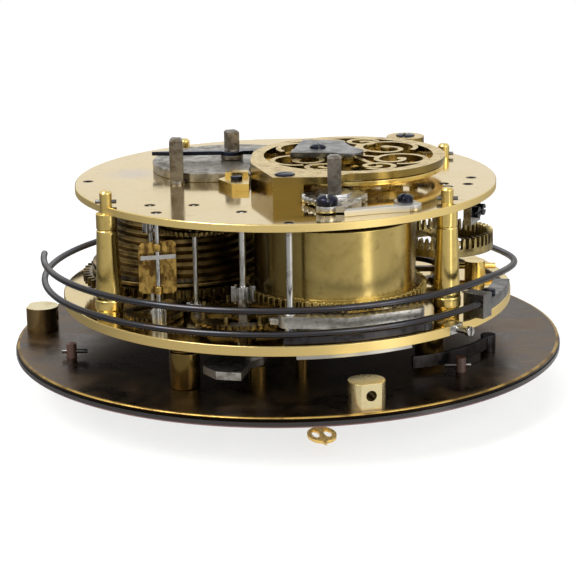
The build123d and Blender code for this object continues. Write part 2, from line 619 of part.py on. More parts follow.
# Strike barrel with its base teeth, its cover, and the arbor with the winding square
MODULE_S = mesh_module(STRIKE, PIN, BARREL_T, PIN_LEAVES)
with BuildPart() as strike_barrel:
    toothed(STRIKE, 25.25, 26.9, BARREL_T, MODULE_S, heading(STRIKE, PIN))
    turned(STRIKE, ((0, 25.25), (15.3, 25.25), (15.3, 39.6), (15.0, 39.9), (0, 39.9)))
    rod(STRIKE, 14.2, 26.4, 40.0, Mode.SUBTRACT)
    rod(STRIKE, 2.56, 25.0, 27.0, Mode.SUBTRACT)
keep("strike barrel", strike_barrel, "strike_barrel")
with BuildPart() as strike_cover:
    turned(STRIKE, ((2.56, 39.1), (14.2, 39.1), (14.2, 39.9), (2.56, 39.9)))
keep("strike cover", strike_cover, "strike_barrel_cover")
with BuildPart() as strike_arbor:
    turned(STRIKE, ((0, 18.4), (1.6, 18.4), (1.6, 20.4), (2.5, 20.4), (2.5, 26.5), (4.6, 27.2),
                    (4.6, 38.2), (2.5, 38.8), (2.5, 40.3), (1.6, 40.3), (1.6, 42.3), (0, 42.3)))
    with BuildSketch(Plane.XY.offset(42.3)):
        with Locations(STRIKE):
            Rectangle(2.6, 2.6)
    extrude(amount=8.8)
    chamfer(strike_arbor.faces().sort_by(Axis.Z)[-1].edges(), 0.5)
keep("strike arbor", strike_arbor, "strike_barrel_arbor")

# Ratchet wheel with saw teeth, and the click, whose nose stands at the tooth tips, as it does at
# the moment it rides over a tooth while the spring is wound
RATCHET_T, RATCHET_R = 24, 6.3
NOSE_ANGLE = -52.0
with BuildPart() as ratchet:
    with BuildSketch(Plane.XY.offset(42.35)):
        with BuildLine():
            saw = []
            for tooth in range(RATCHET_T):
                start = NOSE_ANGLE + (tooth + 0.5) * 360 / RATCHET_T
                saw.append(toward(STRIKE, start - 6.5, 5.5))
                saw.append(toward(STRIKE, start + 6.6, RATCHET_R))
            Polyline(*saw, close=True)
        make_face()
        with Locations(STRIKE):
            Rectangle(2.6, 2.6, mode=Mode.SUBTRACT)
    extrude(amount=1.2)
    with BuildSketch(Plane.XY.offset(43.55)):
        with Locations(STRIKE):
            RegularPolygon(3.4, 8)
            Rectangle(2.6, 2.6, mode=Mode.SUBTRACT)
    extrude(amount=0.5)
keep("ratchet", ratchet, "ratchet_wheel")
NOSE = toward(STRIKE, NOSE_ANGLE, RATCHET_R + 0.12)
with BuildPart() as click:
    with BuildSketch(Plane.XY.offset(42.35)):
        with Locations(CLICK):
            Circle(2.1)
        with BuildLine():
            Polyline(toward(CLICK, 120, 1.6), toward(NOSE, NOSE_ANGLE + 150, 0.02),
                     toward(NOSE, NOSE_ANGLE + 18, 1.1), toward(CLICK, -11, 4.2), toward(CLICK, -22, 4.0),
                     toward(CLICK, -45, 2.0), close=True)
        make_face()
        with Locations(STRIKE):
            Circle(RATCHET_R + 0.1, mode=Mode.SUBTRACT)
        with Locations(CLICK):
            Circle(1.05, mode=Mode.SUBTRACT)
    extrude(amount=1.15)
keep("click", click, "click")

# Strike train: pin wheel arbor, third, warning and fly arbors
MODULE_P = mesh_module(PIN, STRIKE_THIRD, PIN_T, STRIKE_THIRD_LEAVES)
with BuildPart() as pin_arbor:
    turned(PIN, ((0, 18.5), (0.4, 18.5), (0.4, 20.4), (1.2, 20.4), (1.2, 24.9), (0.65, 28.2),
                 (0.65, 40.4), (0.4, 40.4), (0.4, 42.0), (0, 42.0)))
    toothed(PIN, 24.9, 27.9, PIN_LEAVES, MODULE_S, heading(PIN, STRIKE), True)
keep("pin arbor", pin_arbor, "pin_wheel_arbor")
with BuildPart() as pin_wheel:
    wheel(PIN, 21.9, 22.8, PIN_T, MODULE_P, heading(PIN, STRIKE_THIRD), 1.2, 2.4, 4, 1.9)
    for pin in range(8):
        rod(toward(PIN, 22.5 + 45 * pin, 8.1), 0.4, 22.0, 24.2)
keep("pin wheel", pin_wheel, "pin_wheel")
MODULE_R = mesh_module(STRIKE_THIRD, WARNING, STRIKE_THIRD_T, WARNING_LEAVES)
with BuildPart() as strike_third_arbor:
    turned(STRIKE_THIRD, ((0, 18.5), (0.3, 18.5), (0.3, 20.4), (0.5, 20.4), (0.5, 37.0), (1.0, 37.0),
                          (1.0, 38.5), (0.5, 38.9), (0.5, 40.4), (0.3, 40.4), (0.3, 42.0), (0, 42.0)))
    facing = heading(STRIKE_THIRD, PIN)
    toothed(STRIKE_THIRD, 21.7, 23.0, STRIKE_THIRD_LEAVES, MODULE_P, facing, True)
keep("strike third arbor", strike_third_arbor, "strike_third_arbor")
with BuildPart() as strike_third_wheel:
    facing = heading(STRIKE_THIRD, WARNING)
    wheel(STRIKE_THIRD, 37.5, 38.3, STRIKE_THIRD_T, MODULE_R, facing, 1.0, 1.8, 4, 1.0)
    turned(STRIKE_THIRD, ((1.0, 38.3), (1.4, 38.3), (1.4, 38.5), (1.0, 38.5)))
keep("strike third wheel", strike_third_wheel, "strike_third_wheel")
MODULE_W = mesh_module(WARNING, FLY, WARNING_T, FLY_LEAVES)
with BuildPart() as warning_arbor:
    turned(WARNING, ((0, 18.5), (0.3, 18.5), (0.3, 20.35), (0.8, 20.35), (0.8, 21.6), (0.45, 21.6),
                     (0.45, 40.4), (0.3, 40.4), (0.3, 42.0), (0, 42.0)))
    toothed(WARNING, 36.9, 40.0, WARNING_LEAVES, MODULE_R, heading(WARNING, STRIKE_THIRD), True)
keep("warning arbor", warning_arbor, "warning_arbor")
with BuildPart() as warning_wheel:
    wheel(WARNING, 20.6, 21.3, WARNING_T, MODULE_W, heading(WARNING, FLY), 0.8, 1.6, 4, 1.0)
keep("warning wheel", warning_wheel, "warning_wheel")
with BuildPart() as fly_arbor:
    turned(FLY, ((0, 18.5), (0.3, 18.5), (0.3, 20.35), (0.45, 20.35), (0.45, 40.4), (0.3, 40.4),
                 (0.3, 42.0), (0, 42.0)))
    toothed(FLY, 20.4, 23.6, FLY_LEAVES, MODULE_W, heading(FLY, WARNING), True)
keep("fly arbor", fly_arbor, "fly_arbor")
with BuildPart() as fly:
    rod(FLY, 0.85, 26.6, 28.0)
    rod(FLY, 0.85, 34.8, 36.2)
    face = Plane(origin=(FLY[0], FLY[1], 0), x_dir=(cos(radians(12)), sin(radians(12)), 0),
                 z_dir=(sin(radians(12)), -cos(radians(12)), 0))
    with BuildSketch(face.offset(-0.87)):
        with BuildLine():
            Polyline((-3.6, 27.2), (-3.1, 26.6), (2.9, 26.3), (3.5, 26.9), (3.6, 35.9), (2.9, 36.6),
                     (-2.8, 36.3), (-3.5, 35.6), close=True)
        make_face()
    extrude(amount=0.37)
    rod(FLY, 0.47, 26, 37, Mode.SUBTRACT)
keep("fly", fly, "fly")

# Hammer on its polished rod arbor
with BuildPart() as hammer_arbor:
    turned(HAMMER, ((0, 18.5), (0.4, 18.5), (0.4, 20.4), (1.1, 20.4), (1.1, 25.0), (0.66, 25.3),
                    (0.66, 40.35), (0.4, 40.35), (0.4, 41.9), (0, 41.9)))
keep("hammer arbor", hammer_arbor, "hammer_arbor")
with BuildPart() as hammer:
    with BuildSketch(Plane.XY.offset(22.7)):
        with Locations(HAMMER):
            Circle(2.2)
        with BuildLine():
            Polyline((-0.5, -42.3), (11.0, -43.4), (24.4, -37.7), (25.3, -36.5), (24.9, -34.3),
                     (23.1, -34.9), (22.1, -36.1), (12.0, -40.2), (0.5, -38.3), close=True)
        make_face()
        with Locations(HAMMER):
            Circle(1.1, mode=Mode.SUBTRACT)
    extrude(amount=2.2)
    bar(HAMMER, (-2.7, -39.2), 1.5, 22.9, 24.0)
    rod(HAMMER, 1.1, 22, 25, Mode.SUBTRACT)
keep("hammer", hammer, "hammer")

# Gong: one wire of 1.4 turns, and the steel block on the pillar plate that holds it
WIRE_R, GONG_R = 0.65, 47.3
GONG_AT = (-1.5, 0.0)
GONG_SCREW = toward(CENTRE, -26, 43.3)
LOW_TURN, HIGH_TURN = 23.1, 27.5


def on_gong(angle, z):
    return (*toward(GONG_AT, angle, GONG_R), z)


START = -36.5
WIRE_END = Plane(origin=on_gong(START, LOW_TURN), z_dir=(sin(radians(START)), -cos(radians(START)), 0))
with BuildPart() as gong_wire:
    with BuildLine() as gong_path:
        ThreePointArc(on_gong(START, LOW_TURN), on_gong(-120, LOW_TURN), on_gong(-200, LOW_TURN))
        ThreePointArc(on_gong(-200, LOW_TURN), on_gong(-270, LOW_TURN), on_gong(-335, LOW_TURN))
        rise = []
        for part in range(0, 9):
            share = part / 8
            height = LOW_TURN + (HIGH_TURN - LOW_TURN) * (share * share * (3 - 2 * share))
            rise.append(on_gong(-335 - 62 * share, height))
        Spline(*rise, tangents=((sin(radians(-335)), -cos(radians(-335)), 0),
                                (sin(radians(-397)), -cos(radians(-397)), 0)))
        ThreePointArc(on_gong(-397, HIGH_TURN), on_gong(-470, HIGH_TURN), on_gong(-538, HIGH_TURN))
    with BuildSketch(WIRE_END):
        Circle(WIRE_R)
    sweep()
keep("gong wire", gong_wire, "gong_wire")
track = [gong_path.wires()[0].position_at(share / 280) for share in range(281)]
gaps = [(a - b).length for i, a in enumerate(track) for b in track[i + 40:]]
print("least gap between the gong's turns", round(min(gaps) - 2 * WIRE_R, 2), "mm")
with BuildPart() as gong_block:
    with BuildSketch(Plane.XY.offset(PILLAR_PLATE[2])):
        with BuildLine():
            CenterArc(CENTRE, 43.4, -36, 26)
        trace(line_width=3.2)
    extrude(amount=2.2)
    block_at = toward(GONG_AT, -35.2, 46.0)
    with BuildSketch(Plane.XY.offset(PILLAR_PLATE[2])):
        with Locations(Location((block_at[0], block_at[1], 0), (0, 0, -35.2))):
            Rectangle(4.4, 3.2)
    extrude(amount=4.6)
    with BuildSketch(WIRE_END):
        Circle(WIRE_R + 0.02)
    extrude(amount=6, both=True, mode=Mode.SUBTRACT)
    rod(GONG_SCREW, 0.7, 20, 23, Mode.SUBTRACT)
keep("gong block", gong_block, "gong_block")

# Spring catch in the rim slot, with its screw facing outward
with BuildPart() as catch:
    spot = Location((0, 0, 0), (0, 0, SLOT_ANGLE))
    with Locations(spot * Location((43.9, 0, 19.2))):
        Box(2.4, 3.4, 1.7)
    with Locations(spot * Location((46.0, 0.4, 19.25), (0, 90, 0))):
        Cylinder(0.7, 3.4)
    with Locations(spot * Location((47.9, 0.4, 19.25), (0, 90, 0))):
        Cylinder(0.95, 1.0)
    with Locations(spot * Location((48.3, 0.4, 19.25))):
        Box(0.6, 0.4, 3, mode=Mode.SUBTRACT)
keep("catch", catch, "case_catch")

# Motion work between pillar plate and dial plate, with the two hands. The hour wheel carries the
# stepped snail of the strike.
MODULE_M = mesh_module(CENTRE, MINUTE, MINUTE_T, CANNON_T)
MODULE_H = mesh_module(CENTRE, MINUTE, HOUR_T, MINUTE_LEAVES)
with BuildPart() as cannon:
    turned(CENTRE, ((0.95, 1.9), (1.3, 1.9), (1.3, 2.9), (1.5, 2.9), (1.5, 16.95), (0.95, 16.95)))
    toothed(CENTRE, 14.6, 16.9, CANNON_T, MODULE_M, heading(CENTRE, MINUTE), True)
    with BuildSketch(Plane.XY):
        Rectangle(1.9, 1.9)
    extrude(amount=2.0)
    rod(CENTRE, 0.95, 2.0, 18, Mode.SUBTRACT)
keep("cannon", cannon, "cannon_pinion")
with BuildPart() as minute_wheel:
    toothed(MINUTE, 15.1, 16.1, MINUTE_T, MODULE_M, heading(MINUTE, CENTRE))
    toothed(MINUTE, 12.2, 15.1, MINUTE_LEAVES, MODULE_H, heading(MINUTE, CENTRE), True)
    rod(MINUTE, 0.86, 12, 17, Mode.SUBTRACT)
keep("minute wheel", minute_wheel, "minute_wheel")
with BuildPart() as hour_wheel:
    toothed(CENTRE, 12.6, 13.6, HOUR_T, MODULE_H, heading(CENTRE, MINUTE))
    rod(CENTRE, 2.5, 3.4, 14.3)
    with BuildSketch(Plane.XY.offset(13.6)):
        with BuildLine():
            edge = []
            for hour in range(12):
                for share in (0, 0.33, 0.66, 1):
                    edge.append(toward(CENTRE, (hour + share) * 30, 6.6 - 0.3 * hour))
            Polyline(*edge, close=True)
        make_face()
    extrude(amount=0.7)
    rod(CENTRE, 1.56, 3, 15, Mode.SUBTRACT)
keep("hour wheel", hour_wheel, "hour_wheel")


def hand(level, thickness, bore, angle, length, boss, head, width):
    # A gilt hand with a pierced heart-shaped head near its tip
    with BuildSketch(Plane.XY.offset(level)) as outline:
        Circle(boss)
        with BuildLine():
            Polyline(*placed(CENTRE, angle, ((0, -0.9), (head - width * 0.6, -0.42),
                                             (head - width * 0.6, 0.42), (0, 0.9))), close=True)
        make_face()
        with Locations(toward(CENTRE, angle, head)):
            Ellipse(width * 0.75, width / 2, rotation=angle)
        with BuildLine():
            Polyline(*placed(CENTRE, angle, (
                (head + width * 0.35, -width * 0.36), (length - 1.2, -0.3), (length, 0),
                (length - 1.2, 0.3), (head + width * 0.35, width * 0.36))), close=True)
        make_face()
        for side in (width * 0.21, -width * 0.21):
            with Locations(*placed(CENTRE, angle, ((head - width * 0.05, side),))):
                Ellipse(width * 0.4, width * 0.13, rotation=angle, mode=Mode.SUBTRACT)
        Circle(bore, mode=Mode.SUBTRACT)
    extrude(outline.sketch, amount=thickness)


with BuildPart() as minute_hand:
    hand(2.1, 0.6, 1.3, -82.0, 48.6, 3.0, 43.2, 5.4)
keep("minute hand", minute_hand, "minute_hand")
with BuildPart() as hour_hand:
    hand(3.5, 0.6, 2.5, 45.6, 33.0, 4.2, 25.0, 7.4)
keep("hour hand", hour_hand, "hour_hand")

# Strike work under the pillar plate: the rack and the lifting lever
RACK = (-5.8, -33.0)
with BuildPart() as rack:
    turned(RACK, ((1.26, 13.3), (1.7, 13.3), (2.4, 16.4), (1.26, 16.4)))
    with BuildSketch(Plane.XY.offset(13.6)):
        with BuildLine():
            Polyline((-7.0, -37.5), (-8.6, -44.4), (-13.2, -43.4), (-15.7, -39.6), (-15.2, -34.6),
                     (-7.2, -31.2), (-3.6, -12.0), (-1.6, -7.4), (-0.9, -8.2), (-2.4, -12.4),
                     (-4.0, -31.5), (-4.6, -34.8), close=True)
        make_face()
        with Locations(RACK):
            Circle(1.5, mode=Mode.SUBTRACT)
    extrude(amount=1.5)
keep("rack", rack, "strike_rack")
LIFT = (2.6, -31.0)
with BuildPart() as lifting:
    with BuildSketch(Plane.XY.offset(15.6)):
        with Locations(LIFT):
            Circle(2.2)
        with BuildLine():
            Polyline((2.0, -33.0), (16.0, -33.8), (22.0, -31.6), (21.6, -30.4), (15.6, -31.6),
                     (4.6, -30.0), (5.6, -9.0), (4.0, -4.6), (2.4, -5.0), (3.6, -9.4), (1.2, -29.6),
                     close=True)
        make_face()
        with Locations(LIFT):
            Circle(1.26, mode=Mode.SUBTRACT)
    extrude(amount=1.3)
keep("lifting", lifting, "lifting_lever")

# Studs: the minute wheel's, the two of the strike work, and a cross-pinned one on the pillar plate
with BuildPart() as studs:
    turned(MINUTE, ((0, 11.4), (1.4, 11.4), (1.4, 12.0), (0.8, 12.0), (0.8, 18.25), (0, 18.25)))
    turned(RACK, ((0, 10.0), (1.9, 10.0), (1.9, 13.2), (1.2, 13.2), (1.2, 18.25), (0, 18.25)))
    turned(LIFT, ((0, 10.0), (1.2, 10.0), (1.2, 18.25), (0, 18.25)))
    rod((38.6, 4.5), 2.1, PILLAR_PLATE[2], 23.2)
    with Locations(Location((38.6, 4.5, 22.0), (0, 90, -8))):
        Cylinder(0.6, 8.4)
keep("studs", studs, "studs")

# Flat springs: the click's, the hammer's and two under the pillar plate
with BuildPart() as springs:
    with BuildSketch(Plane.XY.offset(42.1)):
        with BuildLine():
            Polyline((10.6, -36.7), (11.0, -34.7), (17.5, -32.0), (21.6, -31.4), (23.8, -31.5),
                     (22.8, -33.2), (17.6, -34.2), close=True)
        make_face()
        with Locations(Location((22.6, -29.6, 0), (0, 0, -64))):
            SlotCenterToCenter(3.2, 3.6)
    extrude(amount=1.1)
    rod(SPRING_SCREW, 0.62, 42, 44, Mode.SUBTRACT)
    with BuildSketch(Plane.XY.offset(20.25)):
        with BuildLine():
            CenterArc(CENTRE, 43.6, -91, 36)
        trace(line_width=1.3)
        with Locations(toward(CENTRE, -54, 43.0)):
            Circle(1.7)
    extrude(amount=1.35)
    with BuildSketch(Plane.XY.offset(17.1)):
        with BuildLine():
            CenterArc(CENTRE, 42.9, -88, 30)
        trace(line_width=1.2)
    extrude(amount=1.15)
    with BuildSketch(Plane.XY.offset(11.0)):
        with BuildLine():
            ThreePointArc((23.5, -29.9), (33.6, -24.4), (39.3, -16.1))
        trace(line_width=0.9)
    extrude(amount=2.4)
    rod((39.3, -16.1), 1.5, DIAL_PLATE[2], 13.4)
keep("springs", springs, "flat_springs")


def screw(at, bottom, seat, shank, head, turn, rounded=0.4):
    # A cheese-head screw with a domed top and a slot
    top = seat + head * 0.55
    turned(at, ((0, bottom), (shank, bottom), (shank, seat), (head, seat), (head, top),
                ((head * 0.74, top + rounded * 0.7), (0, top + rounded))))
    with Locations(Location((at[0], at[1], top + rounded), (0, 0, turn))):
        Box(head * 3, head * 0.25, head * 0.6 + rounded, mode=Mode.SUBTRACT)


# Screws, blued: cock, end plate, regulator clamp, click, click spring, gong block, counter-potence
with BuildPart() as screws:
    screw((-0.1, -19.4), 42.1, 45.75, 0.95, 1.9, 30, 0.2)
    screw((25.2, 19.2), 42.1, 45.75, 0.95, 1.9, 75, 0.2)
    screw((6.6, 2.4), 46.6, 47.0, 0.7, 1.6, 100)
    screw((-9.6, -8.2), 42.1, 43.5, 0.55, 1.15, 15, 0.1)
    screw(CLICK, 42.1, 43.6, 1.0, 2.0, 95, 0.7)
    screw(SPRING_SCREW, 42.1, 43.2, 0.58, 1.5, 60, 0.5)
    screw(GONG_SCREW, 20.25, 22.42, 0.66, 1.4, 10, 0.3)
    for side in (-1.45, 1.45):
        spot = Location((35.9, -15.8, 38.3), (0, 0, -24)) * Location((0.8, side, 0), (0, 90, 0))
        with Locations(spot * Location((0, 0, 0.6))):
            Cylinder(1.1, 1.2)
        with Locations(spot * Location((0, 0, 1.1))):
            Box(0.4, 3, 0.6, mode=Mode.SUBTRACT)
keep("screws", screws, "screws")
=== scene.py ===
"""Dresses the coach clock movement: finishes, fine pieces, dial work, stage and camera."""
import math

import bmesh
import bpy
from bpy.props import FloatProperty, FloatVectorProperty, IntProperty, PointerProperty
from mathutils import Matrix, Vector


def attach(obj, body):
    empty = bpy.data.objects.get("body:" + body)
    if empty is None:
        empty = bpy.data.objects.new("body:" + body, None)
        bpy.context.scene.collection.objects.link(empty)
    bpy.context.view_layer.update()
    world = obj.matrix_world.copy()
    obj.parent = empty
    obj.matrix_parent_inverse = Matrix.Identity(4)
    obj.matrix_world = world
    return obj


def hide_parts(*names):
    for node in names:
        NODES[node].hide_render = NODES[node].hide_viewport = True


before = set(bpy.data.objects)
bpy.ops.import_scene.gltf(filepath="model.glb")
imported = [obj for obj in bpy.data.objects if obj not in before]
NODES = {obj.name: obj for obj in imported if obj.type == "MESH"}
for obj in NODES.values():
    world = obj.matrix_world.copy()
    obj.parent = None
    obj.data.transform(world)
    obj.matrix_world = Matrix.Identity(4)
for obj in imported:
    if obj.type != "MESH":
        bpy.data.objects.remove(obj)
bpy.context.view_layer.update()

bl_info = {
    "name": "Coach Clock Movement",
    "version": (1, 0, 0),
    "blender": (4, 5, 0),
    "location": "View3D > Sidebar > Clock",
    "description": "Finishes and fine pieces of a spring-driven coach clock movement",
    "category": "Object",
}

MM = 0.001

# Places in plan, in mm from the dial's axis
AXIS = (0, 0)
PILLARS = ((-33.9, -23.9), (30.3, -25.5), (-21.6, 28.0), (33.2, 18.2))
FEET = ((-19.3, -35.8), (27.5, -20.5), (0.0, 38.0))
FLY = (-24.0, -30.6)
FUSEE, BARREL = Vector((-21.5, -4.2)), Vector((6.0, 24.0))
REGULATOR = (-10.9, 10.4)
GONG = (-1.5, 0.0)
HEAT_STAIN = (-31.0, 5.0)
HOLES = ((0, 0), (21.9, 1.0), (31.0, -8.6), (-8.2, -31.0), (-17.3, -24.6), (-25.6, -24.2),
         (-24.0, -30.6), (0.5, -40.3), (-39.4, -1.5), (35.7, -9.3), (36.9, -3.2), (31.6, -11.4))


def linear(text):
    """A hex colour as linear RGBA."""
    values = []
    for start in (1, 3, 5):
        share = int(text[start:start + 2], 16) / 255
        values.append(share / 12.92 if share <= 0.04045 else ((share + 0.055) / 1.055) ** 2.4)
    return (*values, 1.0)


def opaque(colour):
    """A colour setting as RGBA."""
    return (*colour, 1.0)


def add(tree, kind, settings=(), **sockets):
    """Adds a node, with its fields from settings and its inputs by name or number.

    An input takes a socket to link, a value, or a colour as hex text.
    """
    made = tree.nodes.new(kind)
    for field, value in dict(settings).items():
        setattr(made, field, value)
    for name, value in sockets.items():
        key = int(name[1:]) if name[1:].isdigit() else name.replace("_", " ")
        if isinstance(value, bpy.types.NodeSocket):
            tree.links.new(value, made.inputs[key])
        else:
            made.inputs[key].default_value = linear(value) if isinstance(value, str) else value
    return made


def blank(name):
    """A material with an empty tree, and its coordinates in metres."""
    made = bpy.data.materials.new(name)
    made.use_nodes = True
    tree = made.node_tree
    tree.nodes.clear()
    return made, tree, add(tree, "ShaderNodeTexCoord").outputs["Object"]


def reckon(tree, operation, *values):
    """The result of one operation on numbers."""
    inputs = {f"_{number}": value for number, value in enumerate(values)}
    return add(tree, "ShaderNodeMath", {"operation": operation}, **inputs).outputs[0]


def ramp(tree, value, low, high, to_low=0.0, to_high=1.0):
    """Stretches value from low..high to to_low..to_high, and stops there."""
    return add(tree, "ShaderNodeMapRange", {"interpolation_type": "SMOOTHSTEP"}, Value=value,
               From_Min=low, From_Max=high, To_Min=to_low, To_Max=to_high).outputs["Result"]


def ramp_mm(tree, length, low, high, to_low=0.0, to_high=1.0):
    """The same for a length in metres, between two bounds in mm."""
    return ramp(tree, length, low * MM, high * MM, to_low, to_high)


def noise(tree, at, size_mm, detail=3.0, stretch=(1, 1, 1), twist=0.0):
    """Noise whose spots are about size_mm across, drawn out along an axis by stretch."""
    spread = add(tree, "ShaderNodeMapping", Vector=at, Scale=stretch)
    return add(tree, "ShaderNodeTexNoise", {"noise_dimensions": "3D"}, Vector=spread.outputs[0],
               Scale=1 / (size_mm * MM), Detail=detail, Roughness=0.55,
               Distortion=twist).outputs["Fac"]


def blend(tree, share, first, second):
    """Mixes two colours by share."""
    return add(tree, "ShaderNodeMix", {"data_type": "RGBA"}, _0=share, _6=first,
               _7=second).outputs[2]


def mottle(tree, mask, low, high, first, second, most=1.0):
    """Turns the first colour to the second, by most at most, as mask rises from low to high."""
    return blend(tree, ramp(tree, mask, low, high, 0.0, most), first, second)


def mix_value(tree, share, first, second):
    """Mixes two numbers by share."""
    return add(tree, "ShaderNodeMix", {"data_type": "FLOAT"}, _0=share, _2=first,
               _3=second).outputs[0]


def coordinate(tree, vector, letter):
    """The X, Y or Z of a vector, in metres for a place."""
    return add(tree, "ShaderNodeSeparateXYZ", Vector=vector).outputs[letter]


def normal_z(tree):
    """How far the surface faces up, from -1 to 1."""
    return coordinate(tree, add(tree, "ShaderNodeNewGeometry").outputs["Normal"], "Z")


def away_from(tree, at, centre):
    """Distance in metres from the vertical line through centre."""
    offset = add(tree, "ShaderNodeVectorMath", {"operation": "SUBTRACT"}, _0=at,
                 _1=(centre[0] * MM, centre[1] * MM, 0)).outputs[0]
    flat = add(tree, "ShaderNodeVectorMath", {"operation": "MULTIPLY"}, _0=offset, _1=(1, 1, 0))
    return add(tree, "ShaderNodeVectorMath", {"operation": "LENGTH"}, _0=flat.outputs[0]).outputs[1]


def shade(tree, colour, rough, bump, depth_mm, metallic=1.0, **more):
    """The surface: a principled shader, with the bump's depth in millimetres."""
    surface = add(tree, "ShaderNodeBsdfPrincipled", Metallic=metallic, Base_Color=colour,
                  Roughness=rough, **more)
    lift = add(tree, "ShaderNodeBump", Height=bump, Strength=1.0, Distance=depth_mm * MM)
    tree.links.new(lift.outputs[0], surface.inputs["Normal"])
    out = add(tree, "ShaderNodeOutputMaterial")
    tree.links.new(surface.outputs[0], out.inputs["Surface"])


# Marks drawn out along X by a file or a stone, and rings left round Z by the lathe
ALONG_X_LONG, ALONG_X, ALONG_X_SHORT = (0.04, 1, 1), (0.1, 1, 1), (0.2, 1, 1)
RINGS = (0.02, 0.02, 1)
# Roughness of a face left dull, and of brass under old oil
DULL, OILY = 0.42, 0.5
# Bounds in mm between which a finish or a painted shade changes: from a centre, along X or in
# height
HOLE_EDGE, STAIN_EDGE = (0.95, 1.2), (-6, 3.5)
DRUM_SHADE, LEFT_BLOCK = (0.5, 7.5), (-30, -20)
DIAL_PLATE_RIM, DIAL_PLATE_WALL, DIAL_PLATE_TOP = (54.6, 54.75), (54.9, 54.97), (9.7, 9.8)
ENAMEL_RIM, COPPER_TOP = (54.7, 54.85), (8.3, 8.5)
FEET_TOP, OVER_PLATES = (18.0, 18.4), (30, 31)
LOW_BLADE_FOOT, LOW_BLADE_HEAD = (16.5, 16.8), (18.6, 19.4)


# Brass plate lapped flat with fine stone: pale, near mirror, soft straight grain, age spots,
# old oil and painted shade in the holes, a dull underside darkened as painted shade, and its
# edges painted paler as a painted highlight
def brass_lapped(look):
    made, tree, at = blank("brass_lapped_plate")
    stain = noise(tree, at, 24.0, 4.0, twist=1.2)
    up = normal_z(tree)
    flat = ramp(tree, reckon(tree, "ABSOLUTE", up), 0.3, 0.8)
    under = ramp(tree, up, -0.8, -0.3, 1.0, 0.0)
    face = mottle(tree, stain, 0.35, 0.7, opaque(look.plate_colour), "#D6BB74")
    face = mottle(tree, noise(tree, at, 1.9, 7.0), 0.56, 0.82, face, "#B0935A", 0.75)
    face = mottle(tree, noise(tree, at, 0.55, 3.0), 0.68, 0.74, face, "#6E5A34", 0.6)
    # painted highlight: faces standing upright, the plate edges, take a paler gold
    colour = blend(tree, flat, "#E8CE88", face)
    # painted shade: faces turned down, the plates' undersides, are darkened
    colour = blend(tree, under, colour, "#4A3C20")
    smear = reckon(tree, "MULTIPLY_ADD", stain, -9 * MM, away_from(tree, at, HEAT_STAIN))
    colour = blend(tree, ramp_mm(tree, smear, *STAIN_EDGE, 0.5, 0.0), colour, "#A9A4AC")
    # each hole is darkened: old oil, and the painted shade of the hole
    oil = 0.0
    for hole in HOLES:
        near = ramp_mm(tree, away_from(tree, at, hole), *HOLE_EDGE, 1.0, 0.0)
        oil = reckon(tree, "MAXIMUM", oil, near)
    colour = blend(tree, oil, colour, "#2A1F12")
    mirror = ramp(tree, noise(tree, at, 16.0, 2.0), 0.3, 0.75, 0.06, 0.15)
    rough = mix_value(tree, flat, DULL, mirror)
    rough = mix_value(tree, under, rough, DULL)
    rough = mix_value(tree, oil, rough, OILY)
    shade(tree, colour, rough, noise(tree, at, 0.5, 2.0, ALONG_X_LONG), 0.0006)
    return made


# Brass turned in the lathe and burnished: deeper yellow, fine rings round each piece's own axis,
# and the feet below the pillar plate darkened as painted shade
def brass_turned(look):
    made, tree, at = blank("brass_turned_burnished")
    cloud = noise(tree, at, 5.0, 4.0)
    colour = mottle(tree, cloud, 0.45, 0.75, opaque(look.brass_colour), "#BFA45C")
    colour = mottle(tree, noise(tree, at, 0.9, 5.0), 0.58, 0.8, colour, "#8B7038", 0.6)
    # painted shade: everything below the pillar plate, the feet, takes a dark brown
    low = ramp_mm(tree, coordinate(tree, at, "Z"), *FEET_TOP, 1.0, 0.0)
    colour = blend(tree, low, colour, "#6E5B32")
    rough = ramp(tree, cloud, 0.3, 0.8, 0.16, 0.32)
    shade(tree, colour, rough, noise(tree, at, 0.5, 2.0, RINGS), 0.0025)
    return made


# Brass drum turned and brushed round: olive yellow, soft upright bands of light, faint stains,
# and its left part darkened as painted shade
def brass_drum(look):
    made, tree, at = blank("brass_drum_brushed")
    cloud = noise(tree, at, 7.0, 5.0, twist=0.5)
    colour = mottle(tree, cloud, 0.35, 0.7, "#BCA768", "#9C874C")
    colour = mottle(tree, noise(tree, at, 2.2, 6.0), 0.55, 0.8, colour, "#806A38", 0.5)
    # painted shade: the drum's left part is darkened
    left = ramp_mm(tree, coordinate(tree, at, "X"), *DRUM_SHADE, 0.75, 0.0)
    colour = blend(tree, left, colour, "#63542F")
    round_it = add(tree, "ShaderNodeTangent", {"direction_type": "RADIAL", "axis": "Z"})
    rough = ramp(tree, cloud, 0.3, 0.8, 0.22, 0.32)
    shade(tree, colour, rough, noise(tree, at, 0.35, 3.0, RINGS), 0.004, Anisotropic=0.7,
          Anisotropic_Rotation=0.25, Tangent=round_it.outputs[0])
    return made


# Brass cut with the chain's groove and never cleaned: brown oil in clouds, the whole darkened as
# painted shade, dull, faint lathe rings
def brass_oiled(look):
    made, tree, at = blank("brass_turned_oiled_painted_shade")
    cloud = noise(tree, at, 3.0, 5.0)
    # painted shade: both colours are darker than the oil alone gives, for the fusee deep in the
    # frame
    colour = mottle(tree, cloud, 0.35, 0.7, "#A38A56", "#4A3C22")
    rough = ramp(tree, cloud, 0.3, 0.8, 0.3, 0.5)
    shade(tree, colour, rough, noise(tree, at, 0.4, 3.0, RINGS), 0.004)
    return made


